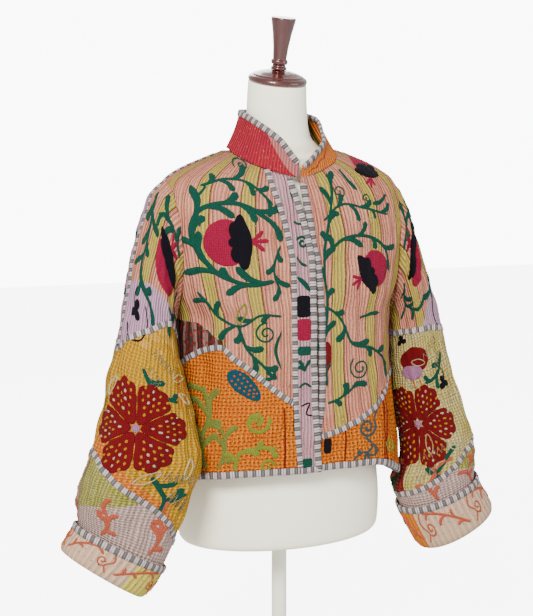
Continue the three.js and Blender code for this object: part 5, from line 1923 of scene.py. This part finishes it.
# Running stitches: a small bead of thread on each point, turned along its row
def makeStitchNodes():
    tree, given = startGroup(
        "runningStitches", "Geometry Length Width Seed Material", "Geometry", "GeometryNodeTree"
    )
    facts = {"Segments": 6, "Rings": 3, "Radius": 0.5}
    bead = addNode(tree, "GeometryNodeMeshUVSphere", facts).outputs["Mesh"]
    width = Value(given, "Width")
    facts = {"X": given.outputs["Length"], "Y": width, "Z": width * 0.8}
    size = addNode(tree, "ShaderNodeCombineXYZ", facts).outputs["Vector"]
    shaped = addNode(tree, "GeometryNodeTransform", {"Geometry": bead, "Scale": size})
    facts = {}
    for axis, pivot, name in (("Z", "AUTO", "facing"), ("X", "Z", "ahead")):
        way = addNode(tree, "GeometryNodeInputNamedAttribute", {"Name": name}, data_type="FLOAT_VECTOR")
        facts["Vector"] = way.outputs["Attribute"]
        kind = "FunctionNodeAlignRotationToVector"
        align = addNode(tree, kind, facts, axis=axis, pivot_axis=pivot)
        facts = {"Rotation": align.outputs["Rotation"]}
    chance = {2: 0.7, 3: 1.15, "Seed": given.outputs["Seed"]}
    chance = addNode(tree, "FunctionNodeRandomValue", chance, data_type="FLOAT")
    facts["Points"] = given.outputs["Geometry"]
    facts["Instance"] = shaped.outputs["Geometry"]
    facts["Scale"] = chance.outputs[1]
    placed = addNode(tree, "GeometryNodeInstanceOnPoints", facts).outputs["Instances"]
    real = addNode(tree, "GeometryNodeRealizeInstances", {"Geometry": placed})
    facts = {"Geometry": real.outputs["Geometry"], "Material": given.outputs["Material"]}
    dressed = addNode(tree, "GeometryNodeSetMaterial", facts)
    return finishGroup(tree, Geometry=dressed.outputs["Geometry"])


stitchNodes = makeStitchNodes()
stitchSeed = 7


# Stitches stand in rows, every other row shifted by half a step. Upright ones run down the chart.
def sewStitches(name, chart, first, second, thread, node, length=3.6, width=1.1, upright=False):
    name = "stitches_" + name
    u, v = np.meshgrid(first, second, indexing="ij")
    if upright:
        v = v + (np.arange(len(first)) % 2)[:, None] * (second[1] - second[0]) / 2
    else:
        u = u + (np.arange(len(second)) % 2)[None] * (first[1] - first[0]) / 2
    u = u.ravel()
    v = v.ravel()
    points, normals = chart(u, v)
    ahead = chart(u, v + 1)[0] - points if upright else chart(u + 1, v)[0] - points
    mesh = bpy.data.meshes.new(name + "_points")
    mesh.from_pydata(((points + normals * 0.25) * mm).tolist(), [], [])
    for label, values in (("facing", normals), ("ahead", unit(ahead))):
        layer = mesh.attributes.new(label, "FLOAT_VECTOR", "POINT")
        layer.data.foreach_set("vector", values.astype(np.float32).ravel())
    guide = placeObject(name + "_guide", mesh)
    modifier = guide.modifiers.new("stitches", "NODES")
    modifier.node_group = stitchNodes
    sockets = {i.name: i.identifier for i in stitchNodes.interface.items_tree if i.in_out == "INPUT"}
    modifier[sockets["Length"]] = length * mm
    modifier[sockets["Width"]] = width * mm
    modifier[sockets["Seed"]] = stitchSeed
    modifier[sockets["Material"]] = threads[thread]
    bpy.context.view_layer.update()
    graph = bpy.context.evaluated_depsgraph_get()
    made = bpy.data.meshes.new_from_object(guide.evaluated_get(graph))
    made.name = name
    bpy.data.objects.remove(guide)
    places = np.zeros(len(made.vertices) * 3, dtype=np.float32)
    made.vertices.foreach_get("co", places)
    setUv(made, places.reshape(-1, 3)[:, [0, 2]])
    made.shade_smooth()
    settlePiece(placeObject(name, made), "tape", None, node)


# Rust stitches stand on the lower patches and pale ones on the upper, each in rows of levels.
def sewCloth():
    low = np.arange(426, 500, 7.0)
    high = np.arange(625, 860, 11.0)
    for sign, side in sideNames.items():
        front, back = frontChart(sign), backChart(sign)
        for part, reach, rows, thread, level in (
            ("low_", 166, low, "rust", "lower"), ("", 150, high, "peach", "upper")
        ):
            x = np.arange(52, reach, 8.5) * sign
            for place, chart, name in (("front", front, part), ("back", back, "back_" + part)):
                facts = x, rows, thread, f"{place}_{side}_{level}"
                sewStitches(name + side, chart, *facts, upright=True)
        across = np.arange(-298, 98, 9.0)
        middle = np.arange(205, 300, 8.0) + (0 if sign < 0 else -10)
        thread = "ivory" if sign < 0 else "rust"
        facts = across, middle, thread, f"sleeve_{side}_middle"
        sewStitches(f"sleeve_{side}", sleeveChart(sign), *facts)
        rows = np.array([7.0, 16.0, 25.0, 34.0])
        around = np.arange(0, 396, 11.0)
        facts = around, rows, "charcoal", f"cuff_{side}"
        sewStitches(f"cuff_{side}", cuffChart(sign), *facts, 2.6, 1.2)


sewCloth()
print("stitches ready")

# Each sheet of cloth is stated once its trimmings are known.
for sheet in sheets.values():
    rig.sheet(sheet["thing"], **sheet["facts"], with_pieces=sheet["trims"])


# Studio
# The camera sees the floor and the backdrop brighter than they light the jacket.
def setGlow(tree, seen, base, target):
    node = addNode(tree, "ShaderNodeLightPath")
    join(tree, Value(node, "Is Camera Ray") * seen + base, target)


def buildFloor():
    edge = 6.0
    mesh = bpy.data.meshes.new("floor")
    corners = [(-edge, -edge, 0), (edge, -edge, 0), (edge, edge, 0), (-edge, edge, 0)]
    mesh.from_pydata(corners, [], [(0, 1, 2, 3)])
    paint = plainMaterial("floorPaint", (1.0, 1.0, 1.0), 0.9)
    shader = paint.node_tree.nodes["Principled BSDF"]
    shader.inputs["Emission Color"].default_value = (1.0, 1.0, 1.0, 1.0)
    setGlow(paint.node_tree, 6.5, 0.5, shader.inputs["Emission Strength"])
    mesh.materials.append(paint)
    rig.stage(placeObject("floor", mesh))


def aimed(thing, place, direction):
    thing.location = place
    thing.rotation_euler = direction.to_track_quat("-Z", "Y").to_euler()
    return thing


def addLight(name, place, size, power, colour):
    light = bpy.data.lights.new(name, "AREA")
    light.size = size
    light.energy = power
    light.color = colour
    aimed(placeObject(name, light), place, Vector((0, 0, 0.7)) - Vector(place))


def buildLights():
    world = bpy.data.worlds.new("studio")
    world.use_nodes = True
    backdrop = world.node_tree.nodes["Background"]
    backdrop.inputs["Color"].default_value = (1.0, 1.0, 1.0, 1.0)
    setGlow(world.node_tree, 9.0, 0.95, backdrop.inputs["Strength"])
    bpy.context.scene.world = world
    addLight("key", (-1.9, -2.4, 2.4), 0.9, 250, (1.0, 0.97, 0.92))
    addLight("fill", (2.4, -2.2, 1.2), 2.0, 42, (0.95, 0.97, 1.0))
    addLight("rim", (0.6, 2.4, 2.2), 1.6, 50, (1.0, 1.0, 1.0))


def buildCamera():
    camera = bpy.data.cameras.new("camera")
    camera.lens = 78.9
    camera.sensor_width = 36
    place = Vector((-0.86, -2.025, 0.95))
    bearing = math.atan2(-place.y, -place.x) + math.atan(13 / 1350)
    pitch = math.radians(-7.6)
    level = math.cos(pitch)
    direction = Vector((math.cos(bearing) * level, math.sin(bearing) * level, math.sin(pitch)))
    bpy.context.scene.camera = aimed(placeObject("camera", camera), place, direction)


buildFloor()
buildLights()
buildCamera()
meshes = [thing.data for thing in bpy.data.objects if thing.type == "MESH"]
print("triangles", sum(len(face.vertices) - 2 for mesh in meshes for face in mesh.polygons))
with open("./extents.json", "w") as out:
    json.dump({"start": sizeAtStart, "end": plainBounds()}, out)
